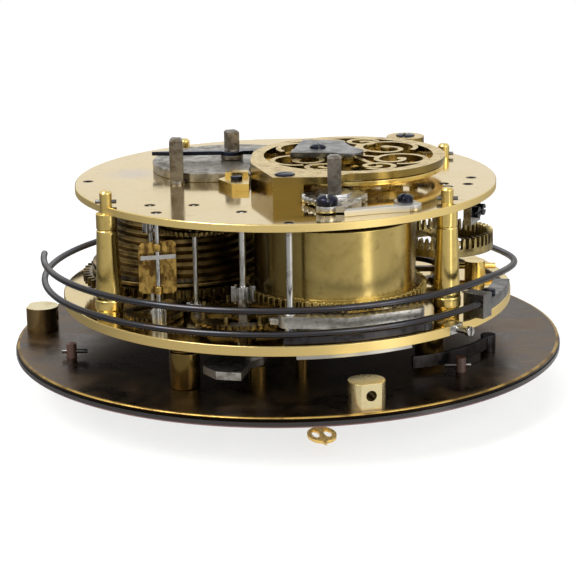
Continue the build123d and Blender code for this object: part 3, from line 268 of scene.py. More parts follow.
# Brass wheel stock, hammered hard and filed: browned by old oil and darkened as painted shade
# for the wheels inside the frame, with fine file marks
def brass_wheel(look, name="brass_wheel_filed_painted_shade", tones=("#75633A", "#372B1A")):
    made, tree, at = blank(name)
    cloud = noise(tree, at, 2.4, 4.0)
    rough = ramp(tree, cloud, 0.3, 0.75, 0.24, 0.42)
    shade(tree, mottle(tree, cloud, 0.4, 0.7, *tones), rough,
          noise(tree, at, 0.35, 2.0, (1, 0.06, 1)), 0.003)
    return made


# The same wheel stock without the painted shade, for wheels out in the light: the same file marks
# on a paler, yellower face
def brass_wiped(look):
    return brass_wheel(look, "brass_wheel_filed_lit", ("#A89766", "#5C4D30"))


# Brass cast, pierced with a saw and engraved: rich yellow, worked all over, dark in the cuts, and
# its sides darkened as painted shade
def brass_pierced(look):
    made, tree, at = blank("brass_pierced_engraved")
    cuts = add(tree, "ShaderNodeTexWave", {"wave_type": "BANDS", "bands_direction": "DIAGONAL"},
               Vector=at, Scale=1 / (0.9 * MM), Distortion=7.0, Detail=2.0,
               Detail_Scale=1.4).outputs["Fac"]
    cloud = noise(tree, at, 2.6, 4.0)
    face = ramp(tree, normal_z(tree), 0.5, 0.9)
    groove = ramp(tree, cuts, 0.0, 0.34, 0.62, 0.0)
    base = mottle(tree, cloud, 0.42, 0.75, "#EBCD7A", "#AE8D44")
    # painted shade: faces not turned up, the scroll sides, take a darker olive
    base = blend(tree, face, "#8C7842", base)
    colour = blend(tree, reckon(tree, "MULTIPLY", groove, face), base, "#46371A")
    rough = ramp(tree, cloud, 0.3, 0.8, 0.18, 0.34)
    shade(tree, colour, rough, reckon(tree, "MULTIPLY", cuts, face), 0.014)
    return made


# Brass sheet left rough from the hammer: brown and gold mottling, half matt
def brass_mottled(look):
    made, tree, at = blank("brass_sheet_hammered")
    cloud = noise(tree, at, 1.3, 6.0, (1, 1, 0.6))
    colour = mottle(tree, cloud, 0.38, 0.6, "#C9A65A", "#5E4524")
    shade(tree, colour, ramp(tree, cloud, 0.3, 0.7, 0.24, 0.5), cloud, 0.02)
    return made


# Brass silvered by rubbing: pale grey, worn to yellow-grey blotches and fine marks
def brass_silvered(look):
    made, tree, at = blank("brass_silvered_rubbed")
    cloud = noise(tree, at, 2.2, 6.0, twist=0.6)
    fine = noise(tree, at, 0.5, 3.0)
    base = mottle(tree, cloud, 0.35, 0.7, "#A29D91", "#6C665B")
    colour = mottle(tree, fine, 0.6, 0.8, base, "#565046", 0.6)
    shade(tree, colour, ramp(tree, cloud, 0.3, 0.75, 0.26, 0.5), fine, 0.006)
    return made


# Brass darkened in a pickle: brown-black, semi-gloss, rubbed to gold along its upper edge
def brass_darkened(look):
    made, tree, at = blank("brass_darkened_pickled")
    cloud = noise(tree, at, 11.0, 6.0, twist=1.4)
    mist = noise(tree, at, 0.9, 6.0)
    rub = noise(tree, at, 1.6, 4.0, (0.25, 1, 1), 1.0)
    base = mottle(tree, cloud, 0.38, 0.62, "#3E2E1E", "#68543D")
    base = mottle(tree, mist, 0.54, 0.76, base, "#7E694C", 0.5)
    base = mottle(tree, rub, 0.6, 0.72, base, "#8E7E68", 0.3)
    reach = away_from(tree, at, AXIS)
    worn = reckon(tree, "MULTIPLY_ADD", cloud, 0.6 * MM, reach)
    edge = reckon(tree, "MULTIPLY", ramp_mm(tree, worn, *DIAL_PLATE_RIM),
                  ramp_mm(tree, coordinate(tree, at, "Z"), *DIAL_PLATE_TOP))
    base = blend(tree, ramp_mm(tree, reach, *DIAL_PLATE_WALL), base, "#1A130D")
    gold = mottle(tree, cloud, 0.4, 0.65, "#B49450", "#6B5430")
    rough = ramp(tree, cloud, 0.25, 0.75, 0.24, 0.42)
    shade(tree, blend(tree, edge, base, gold), mix_value(tree, edge, rough, 0.4), mist, 0.006)
    return made


# Brass blocks cut from thick stock, smoothed with a fine file: pale cream yellow, and the left
# block's sides darkened as painted shade
def brass_filed(look):
    made, tree, at = blank("brass_block_filed")
    cloud = noise(tree, at, 3.5, 3.0)
    colour = mottle(tree, cloud, 0.45, 0.8, "#EBDCAC", "#CDB87C")
    # painted shade: the sides of the left block are darkened
    left = ramp_mm(tree, coordinate(tree, at, "X"), *LEFT_BLOCK, 1.0, 0.0)
    side = ramp(tree, normal_z(tree), 0.3, 0.8, 1.0, 0.0)
    colour = blend(tree, reckon(tree, "MULTIPLY", left, side), colour, "#86704A")
    rough = ramp(tree, cloud, 0.3, 0.8, 0.2, 0.34)
    shade(tree, colour, rough, noise(tree, at, 0.4, 2.0, ALONG_X), 0.002)
    return made


# Steel turned or filed and burnished: mid grey, bright streaks along its length
def steel_polished(look):
    made, tree, at = blank("steel_burnished")
    cloud = noise(tree, at, 2.0, 4.0)
    colour = mottle(tree, cloud, 0.45, 0.8, opaque(look.steel_colour), "#8C8780")
    rough = ramp(tree, cloud, 0.3, 0.8, 0.14, 0.28)
    shade(tree, colour, rough, noise(tree, at, 0.3, 2.0, (1, 1, 0.05)), 0.002)
    return made


# Steel plate left rough from the file: light grey, crossed by deep scratches
def steel_rough(look):
    made, tree, at = blank("steel_plate_rough_filed")
    cloud = noise(tree, at, 1.8, 5.0)
    scratch = noise(tree, at, 0.45, 4.0, (0.12, 1, 1), 1.5)
    colour = mottle(tree, cloud, 0.42, 0.7, "#C6C4BE", "#8C8880")
    colour = mottle(tree, scratch, 0.56, 0.7, colour, "#57524B", 0.7)
    shade(tree, colour, ramp(tree, cloud, 0.3, 0.75, 0.26, 0.44), scratch, 0.02)
    return made


# Steel squares handled with keys: dark grey to brown, pitted by old rust
def steel_handled(look):
    made, tree, at = blank("steel_filed_pitted")
    cloud = noise(tree, at, 1.5, 6.0)
    pits = noise(tree, at, 0.4, 3.0)
    base = mottle(tree, cloud, 0.4, 0.7, "#857F76", "#5A5044")
    colour = mottle(tree, pits, 0.6, 0.78, base, "#3A3028", 0.7)
    shade(tree, colour, ramp(tree, cloud, 0.3, 0.75, 0.26, 0.46), pits, 0.012)
    return made


# Steel ground flat and oiled: dark grey with a short grain
def steel_ground(look):
    made, tree, at = blank("steel_ground_oiled")
    cloud = noise(tree, at, 2.6, 5.0)
    colour = mottle(tree, cloud, 0.4, 0.75, "#6E6D6B", "#4A4845")
    rough = ramp(tree, cloud, 0.3, 0.75, 0.2, 0.38)
    shade(tree, colour, rough, noise(tree, at, 0.3, 2.0, (0.08, 1, 1)), 0.004)
    return made


# Steel ground and rubbed bright, as on the ratchet and its click: light grey, short crossing marks
def steel_bright(look):
    made, tree, at = blank("steel_ground_bright")
    marks = noise(tree, at, 0.35, 3.0, ALONG_X_SHORT, 1.0)
    colour = mottle(tree, noise(tree, at, 1.6, 5.0), 0.42, 0.72, "#B9B8B6", "#7B7774")
    shade(tree, colour, ramp(tree, marks, 0.3, 0.75, 0.2, 0.38), marks, 0.006)
    return made


# Spring steel, tempered: the click's blade over the top plate and the blade under the pillar
# plate are polished bright, the others stay dark
def steel_springs(look):
    made, tree, at = blank("steel_spring_tempered")
    height = coordinate(tree, at, "Z")
    low_blade = reckon(tree, "MULTIPLY", ramp_mm(tree, height, *LOW_BLADE_FOOT),
                       ramp_mm(tree, height, *LOW_BLADE_HEAD, 1.0, 0.0))
    bright = reckon(tree, "ADD", low_blade, ramp_mm(tree, height, *OVER_PLATES))
    cloud = noise(tree, at, 2.2, 3.0)
    dark = mottle(tree, cloud, 0.4, 0.7, "#3F3E40", "#2B2927")
    colour = blend(tree, bright, dark, "#B9B6AE")
    shade(tree, colour, mix_value(tree, bright, 0.3, 0.34), cloud, 0.003)
    return made


# Steel blued over a flame: deep blue to purple, glossy, with straw at the worn spots
def steel_blued(look):
    made, tree, at = blank("steel_blued_flame")
    cloud = noise(tree, at, 1.6, 3.0)
    base = mottle(tree, cloud, 0.35, 0.7, opaque(look.blue_colour), "#2C2B33")
    colour = mottle(tree, cloud, 0.66, 0.8, base, "#5B5654", 0.6)
    shade(tree, colour, ramp(tree, cloud, 0.3, 0.8, 0.14, 0.3), cloud, 0.003)
    return made


# Hard drawn steel wire, hardened and blued: dark blue-grey, slightly scaled
def steel_gong(look):
    made, tree, at = blank("steel_wire_drawn_blued")
    cloud = noise(tree, at, 3.0, 4.0)
    fine = noise(tree, at, 0.35, 3.0)
    base = mottle(tree, cloud, 0.35, 0.7, "#404145", "#413B3A")
    colour = mottle(tree, fine, 0.62, 0.8, base, "#2B2C33", 0.4)
    shade(tree, colour, ramp(tree, cloud, 0.3, 0.75, 0.18, 0.32), fine, 0.003)
    return made


# Brass pierced, polished and gilt in the fire: warm gold, bright, a little rubbed
def gilt(look):
    made, tree, at = blank("brass_fire_gilt")
    cloud = noise(tree, at, 1.2, 4.0)
    colour = mottle(tree, cloud, 0.45, 0.8, "#EBC673", "#B8944C")
    shade(tree, colour, ramp(tree, cloud, 0.3, 0.8, 0.22, 0.4), cloud, 0.006)
    return made


# Vitreous enamel fired on copper: glossy milk white in front, dark and bare copper at back and edge
def enamel(look):
    made, tree, at = blank("enamel_white_fired")
    wave = noise(tree, at, 9.0, 1.0)
    front = ramp(tree, normal_z(tree), -0.75, -0.5, 1.0, 0.0)
    rim = ramp_mm(tree, away_from(tree, at, AXIS), *ENAMEL_RIM)
    copper = ramp_mm(tree, coordinate(tree, at, "Z"), *COPPER_TOP, 1.0, 0.0)
    back = blend(tree, rim, "#4A2E22", blend(tree, copper, "#1C1715", "#5A241B"))
    face = mottle(tree, wave, 0.3, 0.7, opaque(look.dial_colour), "#E4E0D2")
    white = reckon(tree, "MULTIPLY", front, reckon(tree, "SUBTRACT", 1.0, rim))
    rough = ramp(tree, white, 0.0, 1.0, DULL, 0.1)
    shade(tree, blend(tree, white, back, face), rough, wave, 0.02, metallic=0.0, IOR=1.5,
          Coat_Weight=0.2)
    return made


# Black enamel painted and fired: glossy black with faint brown clouds
def enamel_black(look):
    made, tree, at = blank("enamel_black_painted")
    cloud = noise(tree, at, 0.8, 3.0)
    colour = mottle(tree, cloud, 0.5, 0.8, "#111111", "#241F1C")
    shade(tree, colour, ramp(tree, cloud, 0.3, 0.8, 0.14, 0.3), cloud, 0.003, metallic=0.0, IOR=1.5)
    return made


FINISHES = {maker.__name__: maker for maker in (
    brass_lapped, brass_turned, brass_drum, brass_oiled, brass_wheel, brass_wiped, brass_pierced,
    brass_mottled, brass_silvered, brass_darkened, brass_filed, steel_polished, steel_rough,
    steel_handled, steel_ground, steel_bright, steel_springs, steel_blued, steel_gong, gilt,
    enamel, enamel_black)}
MADE = {}


def finish_of(context, name):
    """The finish of that name, made once."""
    if name not in MADE:
        MADE[name] = FINISHES[name](context.scene.clock_looks)
    return MADE[name]


# Angles in degrees: faces nearly in one plane are joined, and sharper edges than these are
# broken on CAD nodes or kept sharp on new pieces
JOINED, BROKEN, KEPT_SHARP = 0.6, 38, 34


def dress(context, finish, *names, edge_mm):
    """Gives CAD nodes a finish, and breaks their sharp edges by edge_mm."""
    for name in names:
        node = NODES[name]
        node.data.materials.clear()
        node.data.materials.append(finish_of(context, finish))
        for polygon in node.data.polygons:
            polygon.use_smooth = True
        weld = node.modifiers.new("weld", "WELD")
        weld.merge_threshold = 0.004 * MM
        flat = node.modifiers.new("join_flats", "DECIMATE")
        flat.decimate_type = "DISSOLVE"
        flat.angle_limit = math.radians(JOINED)
        edge = node.modifiers.new("broken_edge", "BEVEL")
        edge.width = edge_mm * MM
        edge.segments = 2
        edge.limit_method = "ANGLE"
        edge.angle_limit = math.radians(BROKEN)
        edge.use_clamp_overlap = True
        true = node.modifiers.new("true_flats", "WEIGHTED_NORMAL")
        true.mode = "FACE_AREA"
        true.weight = 50


def dress_all(context, rows):
    """Dresses CAD nodes from rows of a finish, an edge break in mm and the nodes' names."""
    for finish, edge_mm, *names in rows:
        dress(context, finish, *names, edge_mm=edge_mm)


def finished(context, name, work, material):
    """A new object from a worked mesh, which it frees."""
    mesh = bpy.data.meshes.new(name)
    work.to_mesh(mesh)
    work.free()
    mesh.materials.append(material)
    made = bpy.data.objects.new(name, mesh)
    context.scene.collection.objects.link(made)
    return made


def piece(context, name, mesh_maker, finish, body, slot, *nodes):
    """A new mesh object, riding on a body and standing for CAD nodes."""
    work = bmesh.new()
    mesh_maker(work)
    bmesh.ops.recalc_face_normals(work, faces=work.faces)
    made = finished(context, name, work, finish_of(context, finish))
    for polygon in made.data.polygons:
        polygon.use_smooth = True
    made.data.set_sharp_from_angle(angle=math.radians(KEPT_SHARP))
    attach(made, body)
    if nodes:
        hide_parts(*nodes)
    return made


def polar(angle, radius, at=(0.0, 0.0)):
    """The point in mm at angle degrees and radius from at."""
    return (at[0] + radius * math.cos(math.radians(angle)),
            at[1] + radius * math.sin(math.radians(angle)))


def bridge(work, low, high):
    """Faces between two rings of as many corners."""
    for here in range(len(low)):
        after = (here + 1) % len(low)
        work.faces.new((low[here], low[after], high[after], high[here]))


def lathe(work, at, profile, turns=72):
    """A turned form about the vertical through at, from (radius, z) points in mm."""
    rings = []
    for radius, z in profile:
        if radius < 1e-6:
            rings.append([work.verts.new((at[0] * MM, at[1] * MM, z * MM))])
            continue
        ring = []
        for turn in range(turns):
            angle = 2 * math.pi * turn / turns
            ring.append(work.verts.new(((at[0] + radius * math.cos(angle)) * MM,
                                        (at[1] + radius * math.sin(angle)) * MM, z * MM)))
        rings.append(ring)
    for low, high in zip(rings, rings[1:]):
        for turn in range(turns):
            after = (turn + 1) % turns
            corners = (low[turn % len(low)], low[after % len(low)],
                       high[after % len(high)], high[turn % len(high)])
            kept = list(dict.fromkeys(corners))
            if len(kept) > 2:
                work.faces.new(kept)


def rounded(profile, radius_mm=0.12, steps=3):
    """The same outline with its corners rounded."""
    out = [profile[0]]
    for before, corner, after in zip(profile, profile[1:], profile[2:]):
        a, b, c = (Vector(p) for p in (before, corner, after))
        # two neighbouring roundings never meet
        cut = min(radius_mm, (a - b).length * 0.45, (c - b).length * 0.45)
        if cut < 1e-4:
            out.append(corner)
            continue
        start = b + (a - b).normalized() * cut
        end = b + (c - b).normalized() * cut
        for step in range(steps + 1):
            t = step / steps
            point = start * (1 - t) ** 2 + b * 2 * t * (1 - t) + end * t * t
            out.append((point.x, point.y))
    out.append(profile[-1])
    return out


def slab(work, corners, low, high):
    """A flat form from its outline in mm, between two heights in mm."""
    base = [work.verts.new((x * MM, y * MM, low * MM)) for x, y in corners]
    top = [work.verts.new((x * MM, y * MM, high * MM)) for x, y in corners]
    work.faces.new(base)
    work.faces.new(top)
    bridge(work, base, top)


def bar(work, near, far, side, low, high):
    """A slab between two points in mm, reaching by side to both hands of them."""
    slab(work, [(point[0] + hand * side[0], point[1] + hand * side[1])
                for point, hand in ((near, -1), (near, 1), (far, 1), (far, -1))], low, high)


def tube(work, path, radius_mm, sides=20):
    """A round wire along points in mm, with closed rounded ends."""
    cap_reach, cap_size = 0.35, 0.55
    points = [Vector(p) * MM for p in path]
    radius = radius_mm * MM
    first, last = (points[0] - points[1]).normalized(), (points[-1] - points[-2]).normalized()
    stops = [(points[0] + first * radius * cap_reach, cap_size, first)]
    for here, point in enumerate(points):
        ahead = points[min(here + 1, len(points) - 1)] - points[max(here - 1, 0)]
        stops.append((point, 1.0, ahead.normalized()))
    stops.append((points[-1] + last * radius * cap_reach, cap_size, last))
    rings = []
    for place, scale, along in stops:
        side = along.cross(Vector((0, 0, 1))).normalized()
        up = side.cross(along).normalized()
        # the first corner of every ring faces away from the axis
        if side.dot(Vector((place.x, place.y, 0))) < 0:
            side, up = -side, up
        ring = []
        for turn in range(sides):
            angle = 2 * math.pi * turn / sides
            ring.append(work.verts.new(place + (side * math.cos(angle) + up * math.sin(angle))
                                       * radius * scale))
        rings.append(ring)
    for low, high in zip(rings, rings[1:]):
        bridge(work, low, high)
    work.faces.new(rings[0])
    work.faces.new(rings[-1])


class ClockLooks(bpy.types.PropertyGroup):
    """Sizes and colours of the movement's finishes and fine pieces."""
    plate_colour: FloatVectorProperty(
        name="Plate brass", description="Lapped face of the two plates", subtype="COLOR",
        default=linear("#D8C084")[:3], min=0, max=1)
    brass_colour: FloatVectorProperty(
        name="Turned brass", description="Pillars, feet, studs and other turned brass",
        subtype="COLOR", default=linear("#DFC579")[:3], min=0, max=1)
    steel_colour: FloatVectorProperty(
        name="Steel", description="Burnished steel of the arbors", subtype="COLOR",
        default=linear("#C2C1BE")[:3], min=0, max=1)
    blue_colour: FloatVectorProperty(
        name="Blued steel", description="Flame-blued screws and index", subtype="COLOR",
        default=linear("#2A2E3C")[:3], min=0, max=1)
    dial_colour: FloatVectorProperty(
        name="Dial enamel", description="White of the enamel dial", subtype="COLOR",
        default=linear("#EFECE2")[:3], min=0, max=1)
    edge: FloatProperty(
        name="Edge break", description="Width of the broken edges on the plates",
        unit="LENGTH", default=0.1 * MM, min=0.01 * MM, max=0.4 * MM)
    numeral: FloatProperty(
        name="Numeral height", description="Height of the dial's hour numerals",
        unit="LENGTH", default=9.0 * MM, min=3 * MM, max=14 * MM)
    turns: IntProperty(
        name="Facets per turn", description="Sides of each turned form", default=72, min=24,
        max=160)


class CLOCK_OT_plates(bpy.types.Operator):
    """Finish the two movement plates, the dial plate and the case blocks"""
    bl_idname = "clock.plates"
    bl_label = "Plates"

    def execute(self, context):
        edge = context.scene.clock_looks.edge / MM
        dress_all(context, (("brass_lapped", edge, "top_plate", "pillar_plate"),
                            ("brass_darkened", edge, "dial_plate"),
                            ("brass_filed", 0.35, "case_blocks")))
        return {"FINISHED"}


# Profiles as (radius, height) in mm, from the foot up
PILLAR = [(0, 18.35), (1.55, 18.35), (1.55, 20.2), (2.45, 20.2), (2.45, 21.8), (2.7, 22.2),
          (2.75, 23.8), (2.6, 24.0), (2.6, 24.6), (2.5, 26.0), (2.38, 28.0), (2.24, 31.0),
          (2.1, 34.4), (2.02, 36.6), (1.98, 37.3), (1.86, 37.4), (1.86, 37.6), (2.0, 37.75),
          (2.0, 40.62), (1.18, 40.64), (1.18, 44.5), (0.85, 44.95), (0.4, 45.0), (0, 45.0)]
FOOT = [(0, 10.02), (2.88, 10.02), (2.88, 16.9), (2.5, 17.3), (2.88, 17.7), (2.88, 18.24),
        (0, 18.24)]


class CLOCK_OT_pillars(bpy.types.Operator):
    """Turn the four pillars with their base, ring and tenon, and the three feet"""
    bl_idname = "clock.pillars"
    bl_label = "Pillars and feet"

    def execute(self, context):
        turns = context.scene.clock_looks.turns

        def turn_all(work):
            for at in PILLARS:
                lathe(work, at, rounded(PILLAR), turns)
            for at in FEET:
                lathe(work, at, rounded(FOOT, 0.2), turns)

        piece(context, "turned_pillars", turn_all, "brass_turned", "frame", "polished_brass",
              "pillars")
        return {"FINISHED"}


class CLOCK_OT_brasswork(bpy.types.Operator):
    """Finish the wheels, drums and brass bearings of both trains"""
    bl_idname = "clock.brasswork"
    bl_label = "Wheels and drums"

    def execute(self, context):
        dress_all(context, (
            ("brass_drum", 0.1, "going_barrel", "strike_barrel", "strike_barrel_cover"),
            ("brass_oiled", 0.1, "fusee"),
            ("brass_wheel", 0.05, "great_wheel", "centre_wheel", "third_wheel", "pin_wheel",
             "strike_third_wheel", "warning_wheel", "minute_wheel"),
            ("brass_wiped", 0.05, "contrate_wheel", "crown_wheel", "hour_wheel", "potence"),
            ("brass_turned", 0.1, "studs", "regulator_clamp"),
            ("brass_mottled", 0.05, "fly"),
            ("brass_turned", 0.12, "balance_wheel")))

        def strip(work):
            # the fly's spring strip bears on the arbor from in front, near the vane's top
            front, back_face, front_face, half_length = -78, 0.47, 0.6, 3.3
            bar(work, polar(front, back_face, FLY), polar(front, front_face, FLY),
                polar(front + 90, half_length), 33.3, 34.1)

        piece(context, "fly_spring_strip", strip, "steel_polished", "fly_body", "polished_steel")
        return {"FINISHED"}


class CLOCK_OT_steelwork(bpy.types.Operator):
    """Finish the arbors, levers, springs, squares and screws"""
    bl_idname = "clock.steelwork"
    bl_label = "Steelwork"

    def execute(self, context):
        dress_all(context, (
            ("steel_handled", 0.12, "fusee_arbor", "strike_barrel_arbor", "regulator_arbor"),
            ("steel_polished", 0.04, "going_barrel_arbor", "centre_arbor", "third_arbor",
             "contrate_arbor", "crown_arbor", "balance_staff", "pin_wheel_arbor",
             "strike_third_arbor", "warning_arbor", "fly_arbor", "hammer_arbor", "cannon_pinion"),
            ("steel_ground", 0.03, "taper_pins"),
            ("steel_rough", 0.12, "strike_rack", "hammer", "lifting_lever"),
            ("steel_ground", 0.15, "endpiece"),
            ("steel_springs", 0.12, "flat_springs"),
            ("steel_bright", 0.12, "ratchet_wheel", "click", "counter_potence", "case_catch"),
            ("steel_ground", 0.12, "gong_block"),
            ("steel_blued", 0.08, "screws", "regulator_hand", "balance_spring")))
        return {"FINISHED"}


class CLOCK_OT_cock(bpy.types.Operator):
    """Finish the pierced balance cock with rounded, engraved scrolls"""
    bl_idname = "clock.cock"
    bl_label = "Balance cock"

    def execute(self, context):
        dress(context, "brass_pierced", "balance_cock", edge_mm=0.32)
        return {"FINISHED"}


class CLOCK_OT_regulator(bpy.types.Operator):
    """Silver the regulator plate and engrave its plain scale"""
    bl_idname = "clock.regulator"
    bl_label = "Regulator plate"

    def execute(self, context):
        dress(context, "brass_silvered", "regulator_plate", edge_mm=0.15)
        first, lines, apart, half_width = 108, 31, 4, 0.09
        outer, long_inner, short_inner = 15.1, 13.2, 14.2
        bottom, top = 43.89, 43.92

        def scale(work):
            for step in range(lines):
                angle = first + step * apart
                inner = long_inner if step % 5 == 0 else short_inner
                bar(work, polar(angle, inner, REGULATOR), polar(angle, outer, REGULATOR),
                    polar(angle + 90, half_width), bottom, top)

        piece(context, "regulator_scale", scale, "enamel_black", "frame", "silvered_brass")
        return {"FINISHED"}


class CLOCK_OT_gong(bpy.types.Operator):
    """Coil the gong wire from its block"""
    bl_idname = "clock.gong"
    bl_label = "Gong"

    def execute(self, context):
        start, sweep, steps = -36.5, 501.5, 251
        radius, wire_radius = 47.3, 0.65
        low, rise, rise_start, rise_span = 23.1, 4.4, 335, 62
        path = []
        for step in range(steps + 1):
            angle = start - sweep * step / steps
            # the wire climbs over its own first turn, smoothly at both ends of the climb
            share = min(max((-angle - rise_start) / rise_span, 0), 1)
            z = low + rise * share * share * (3 - 2 * share)
            path.append((*polar(angle, radius, GONG), z))
        piece(context, "gong_wire_coil", lambda work: tube(work, path, wire_radius), "steel_gong",
              "frame", "gong_steel", "gong_wire")
        return {"FINISHED"}


# Heights in mm of a link's plates: a pair outside, then one between the next pair
OUTER_PLATES, INNER_PLATE = ((26.16, 26.26), (26.58, 26.7)), ((26.42, 26.5),)
RIVET = [(0, 26.15), (0.11, 26.15), (0.11, 26.72), (0, 26.72)]


def link_outline(first, second):
    """A waisted chain plate round two rivets, as (x, y) in mm."""
    half, reach = 0.23, 0.2
    along = (second - first).normalized()
    side = Vector((-along.y, along.x))
    middle = (first + second) / 2
    corners = [first - along * reach + side * half * 0.5,
               first - along * reach - side * half * 0.5,
               first - side * half, middle - side * half * 0.55,
               second - side * half, second + along * reach - side * half * 0.5,
               second + along * reach + side * half * 0.5, second + side * half,
               middle + side * half * 0.55, first + side * half]
    return [(corner.x, corner.y) for corner in corners]


class CLOCK_OT_chain(bpy.types.Operator):
    """Link the fusee chain round the fusee and the going barrel"""
    bl_idname = "clock.chain"
    bl_label = "Fusee chain"

    def execute(self, context):
        around_fusee, around_barrel = 17.05, 15.65
        on_fusee, on_barrel = 150, 215
        span = BARREL - FUSEE
        lean = math.degrees(math.atan2(around_fusee - around_barrel, span.length))
        out = math.degrees(math.atan2(span.y, span.x)) + 90 - lean
        path = [Vector(polar(out + step, around_fusee, FUSEE)) for step in range(on_fusee, -1, -1)]
        path += [Vector(polar(out - step, around_barrel, BARREL)) for step in range(on_barrel + 1)]
        stops = [0.0]
        for before, after in zip(path, path[1:]):
            stops.append(stops[-1] + (after - before).length)

        def at(distance):
            for here in range(1, len(path)):
                if stops[here] >= distance:
                    share = (distance - stops[here - 1]) / (stops[here] - stops[here - 1])
                    return path[here - 1].lerp(path[here], share)
            return path[-1]

        def link_up(work):
            pitch, lead = 1.0, 0.2
            for link in range(int(stops[-1] / pitch) - 1):
                first, second = at(link * pitch + lead), at((link + 1) * pitch + lead)
                for low, high in INNER_PLATE if link % 2 else OUTER_PLATES:
                    slab(work, link_outline(first, second), low, high)
                lathe(work, first, RIVET, 8)

        piece(context, "chain_links", link_up, "steel_ground", "frame", "dark_steel", "fusee_chain")
        return {"FINISHED"}


def dial_height(radius):
    """Height in mm of the enamel's lower face at that radius in mm."""
    middle, dome = 5.5445, 0.00089275
    return middle + dome * radius * radius


def on_enamel(work, corners, lift=0.03, steps=4):
    """A thin painted quad that follows the dome, from four corners in mm."""
    a, b, c, d = (Vector(p) for p in corners)
    grid = []
    for i in range(steps + 1):
        row = []
        for j in range(steps + 1):
            point = a.lerp(b, i / steps).lerp(d.lerp(c, i / steps), j / steps)
            z = dial_height(point.length) - lift
            row.append(work.verts.new((point.x * MM, point.y * MM, z * MM)))
        grid.append(row)
    for i in range(steps):
        for j in range(steps):
            work.faces.new((grid[i][j], grid[i + 1][j], grid[i + 1][j + 1], grid[i][j + 1]))


NUMERALS = ("XII", "I", "II", "III", "IIII", "V", "VI", "VII", "VIII", "IX", "X", "XI")
LETTER_WIDTH = {"I": 1.5, "V": 3.5, "X": 3.9}
SERIF = 0.28
# Radii in mm of the numerals' feet, the two circles of the minute track and the minute lines
NUMERAL_FOOT, TRACK, MINUTE_LINE = 35.6, (46.6, 49.4), (46.7, 49.5)
# Thickness in mm of the circles, and half widths in degrees of every fifth line and the others
CIRCLE_LINE, FIFTH, PLAIN = 0.22, 0.55, 0.13


def box(left, low, right, high):
    """Four corners of an upright rectangle."""
    return ((left, low), (right, low), (right, high), (left, high))


def strokes(letter, high):
    """Strokes of a Roman letter as four-cornered shapes, from x = 0, foot at y = 0."""
    wide = LETTER_WIDTH[letter] - 0.5
    top = high - SERIF
    if letter == "I":
        return [box(0.12, 0, 0.88, high), box(-0.25, 0, 1.25, SERIF), box(-0.25, top, 1.25, high)]
    heads = [box(-0.3, top, 1.2, high), box(wide - 0.8, top, wide + 0.3, high)]
    thick, thin = ((0.85, high), (0.0, high)), ((wide, high), (wide - 0.28, high))
    if letter == "V":
        return [((wide / 2 - 0.3, 0), (wide / 2 + 0.35, 0), *thick),
                ((wide / 2 - 0.1, 0), (wide / 2 + 0.15, 0), *thin), *heads]
    return [((wide - 0.85, 0), (wide, 0), *thick), ((0.05, 0), (0.33, 0), *thin), *heads,
            box(-0.3, 0, 1.0, SERIF), box(wide - 1.2, 0, wide + 0.3, SERIF)]


def paint_numeral(work, numeral, angle, high):
    """One hour's numeral, feet to the centre and narrower there."""
    foot_share, growth, margin = 0.62, 0.38, 0.25
    x = -sum(LETTER_WIDTH[letter] for letter in numeral) / 2
    for letter in numeral:
        for quad in strokes(letter, high):
            corners = []
            for px, py in quad:
                side = (x + margin + px) * (foot_share + growth * py / high)
                corners.append(Vector(polar(angle, NUMERAL_FOOT + py))
                               + Vector(polar(angle + 90, side)))
            on_enamel(work, corners)
        x += LETTER_WIDTH[letter]


class CLOCK_OT_dial(bpy.types.Operator):
    """Fire the dial and paint its numerals and minute track"""
    bl_idname = "clock.dial"
    bl_label = "Dial"

    def execute(self, context):
        dress(context, "enamel", "dial", edge_mm=0.12)
        high = context.scene.clock_looks.numeral / MM

        def paint(work):
            for hour, numeral in enumerate(NUMERALS):
                # seen from below with the twelve at +Y, the hours run the other way round
                paint_numeral(work, numeral, 90 + hour * 30, high)
            for ring in TRACK:
                for a in range(0, 360, 3):
                    b = a + 3
                    outer = ring + CIRCLE_LINE
                    on_enamel(work, [polar(a, ring), polar(b, ring), polar(b, outer),
                                     polar(a, outer)], steps=1)
            inner, outer = MINUTE_LINE
            for minute in range(60):
                half = FIFTH if minute % 5 == 0 else PLAIN
                a, b = minute * 6 - half, minute * 6 + half
                on_enamel(work, [polar(a, inner), polar(b, inner), polar(b, outer),
                                 polar(a, outer)], steps=1)

        piece(context, "dial_numerals", paint, "enamel_black", "frame", "white_enamel")
        return {"FINISHED"}


class CLOCK_OT_hands(bpy.types.Operator):
    """Gild the hour hand and the minute hand"""
    bl_idname = "clock.hands"
    bl_label = "Hands"

    def execute(self, context):
        dress(context, "gilt", "minute_hand", "hour_hand", edge_mm=0.16)
        return {"FINISHED"}


# Brightness of the cloth by its direction from the axis in degrees, 0 at +X: one bright gap at
# the front right, which gives the drum its band of light
TONES = ((-180, 0.22), (-170, 0.3), (-150, 0.44), (-130, 0.52), (-104, 0.54), (-94, 0.56),
         (-78, 0.64), (-57, 0.72), (-54, 2.4), (-48, 2.4), (-45, 0.8), (-34, 0.72), (-14, 0.78),
         (0, 0.92), (10, 0.6), (40, 0.42), (90, 0.25), (180, 0.22))
# Radius and height in mm of the cloth's rings, with its outer edge raised
CLOTH_RINGS = ((66, 0.1), (200, 0.1), (230, 58.0))
CLOTH_SIDES = 96


def emit(tree, strength, colour, kind="ShaderNodeOutputMaterial", source="ShaderNodeEmission"):
    """Ends a tree with plain light of that strength and colour."""
    light = add(tree, source, Color=colour, Strength=strength)
    tree.links.new(light.outputs[0], add(tree, kind).inputs["Surface"])


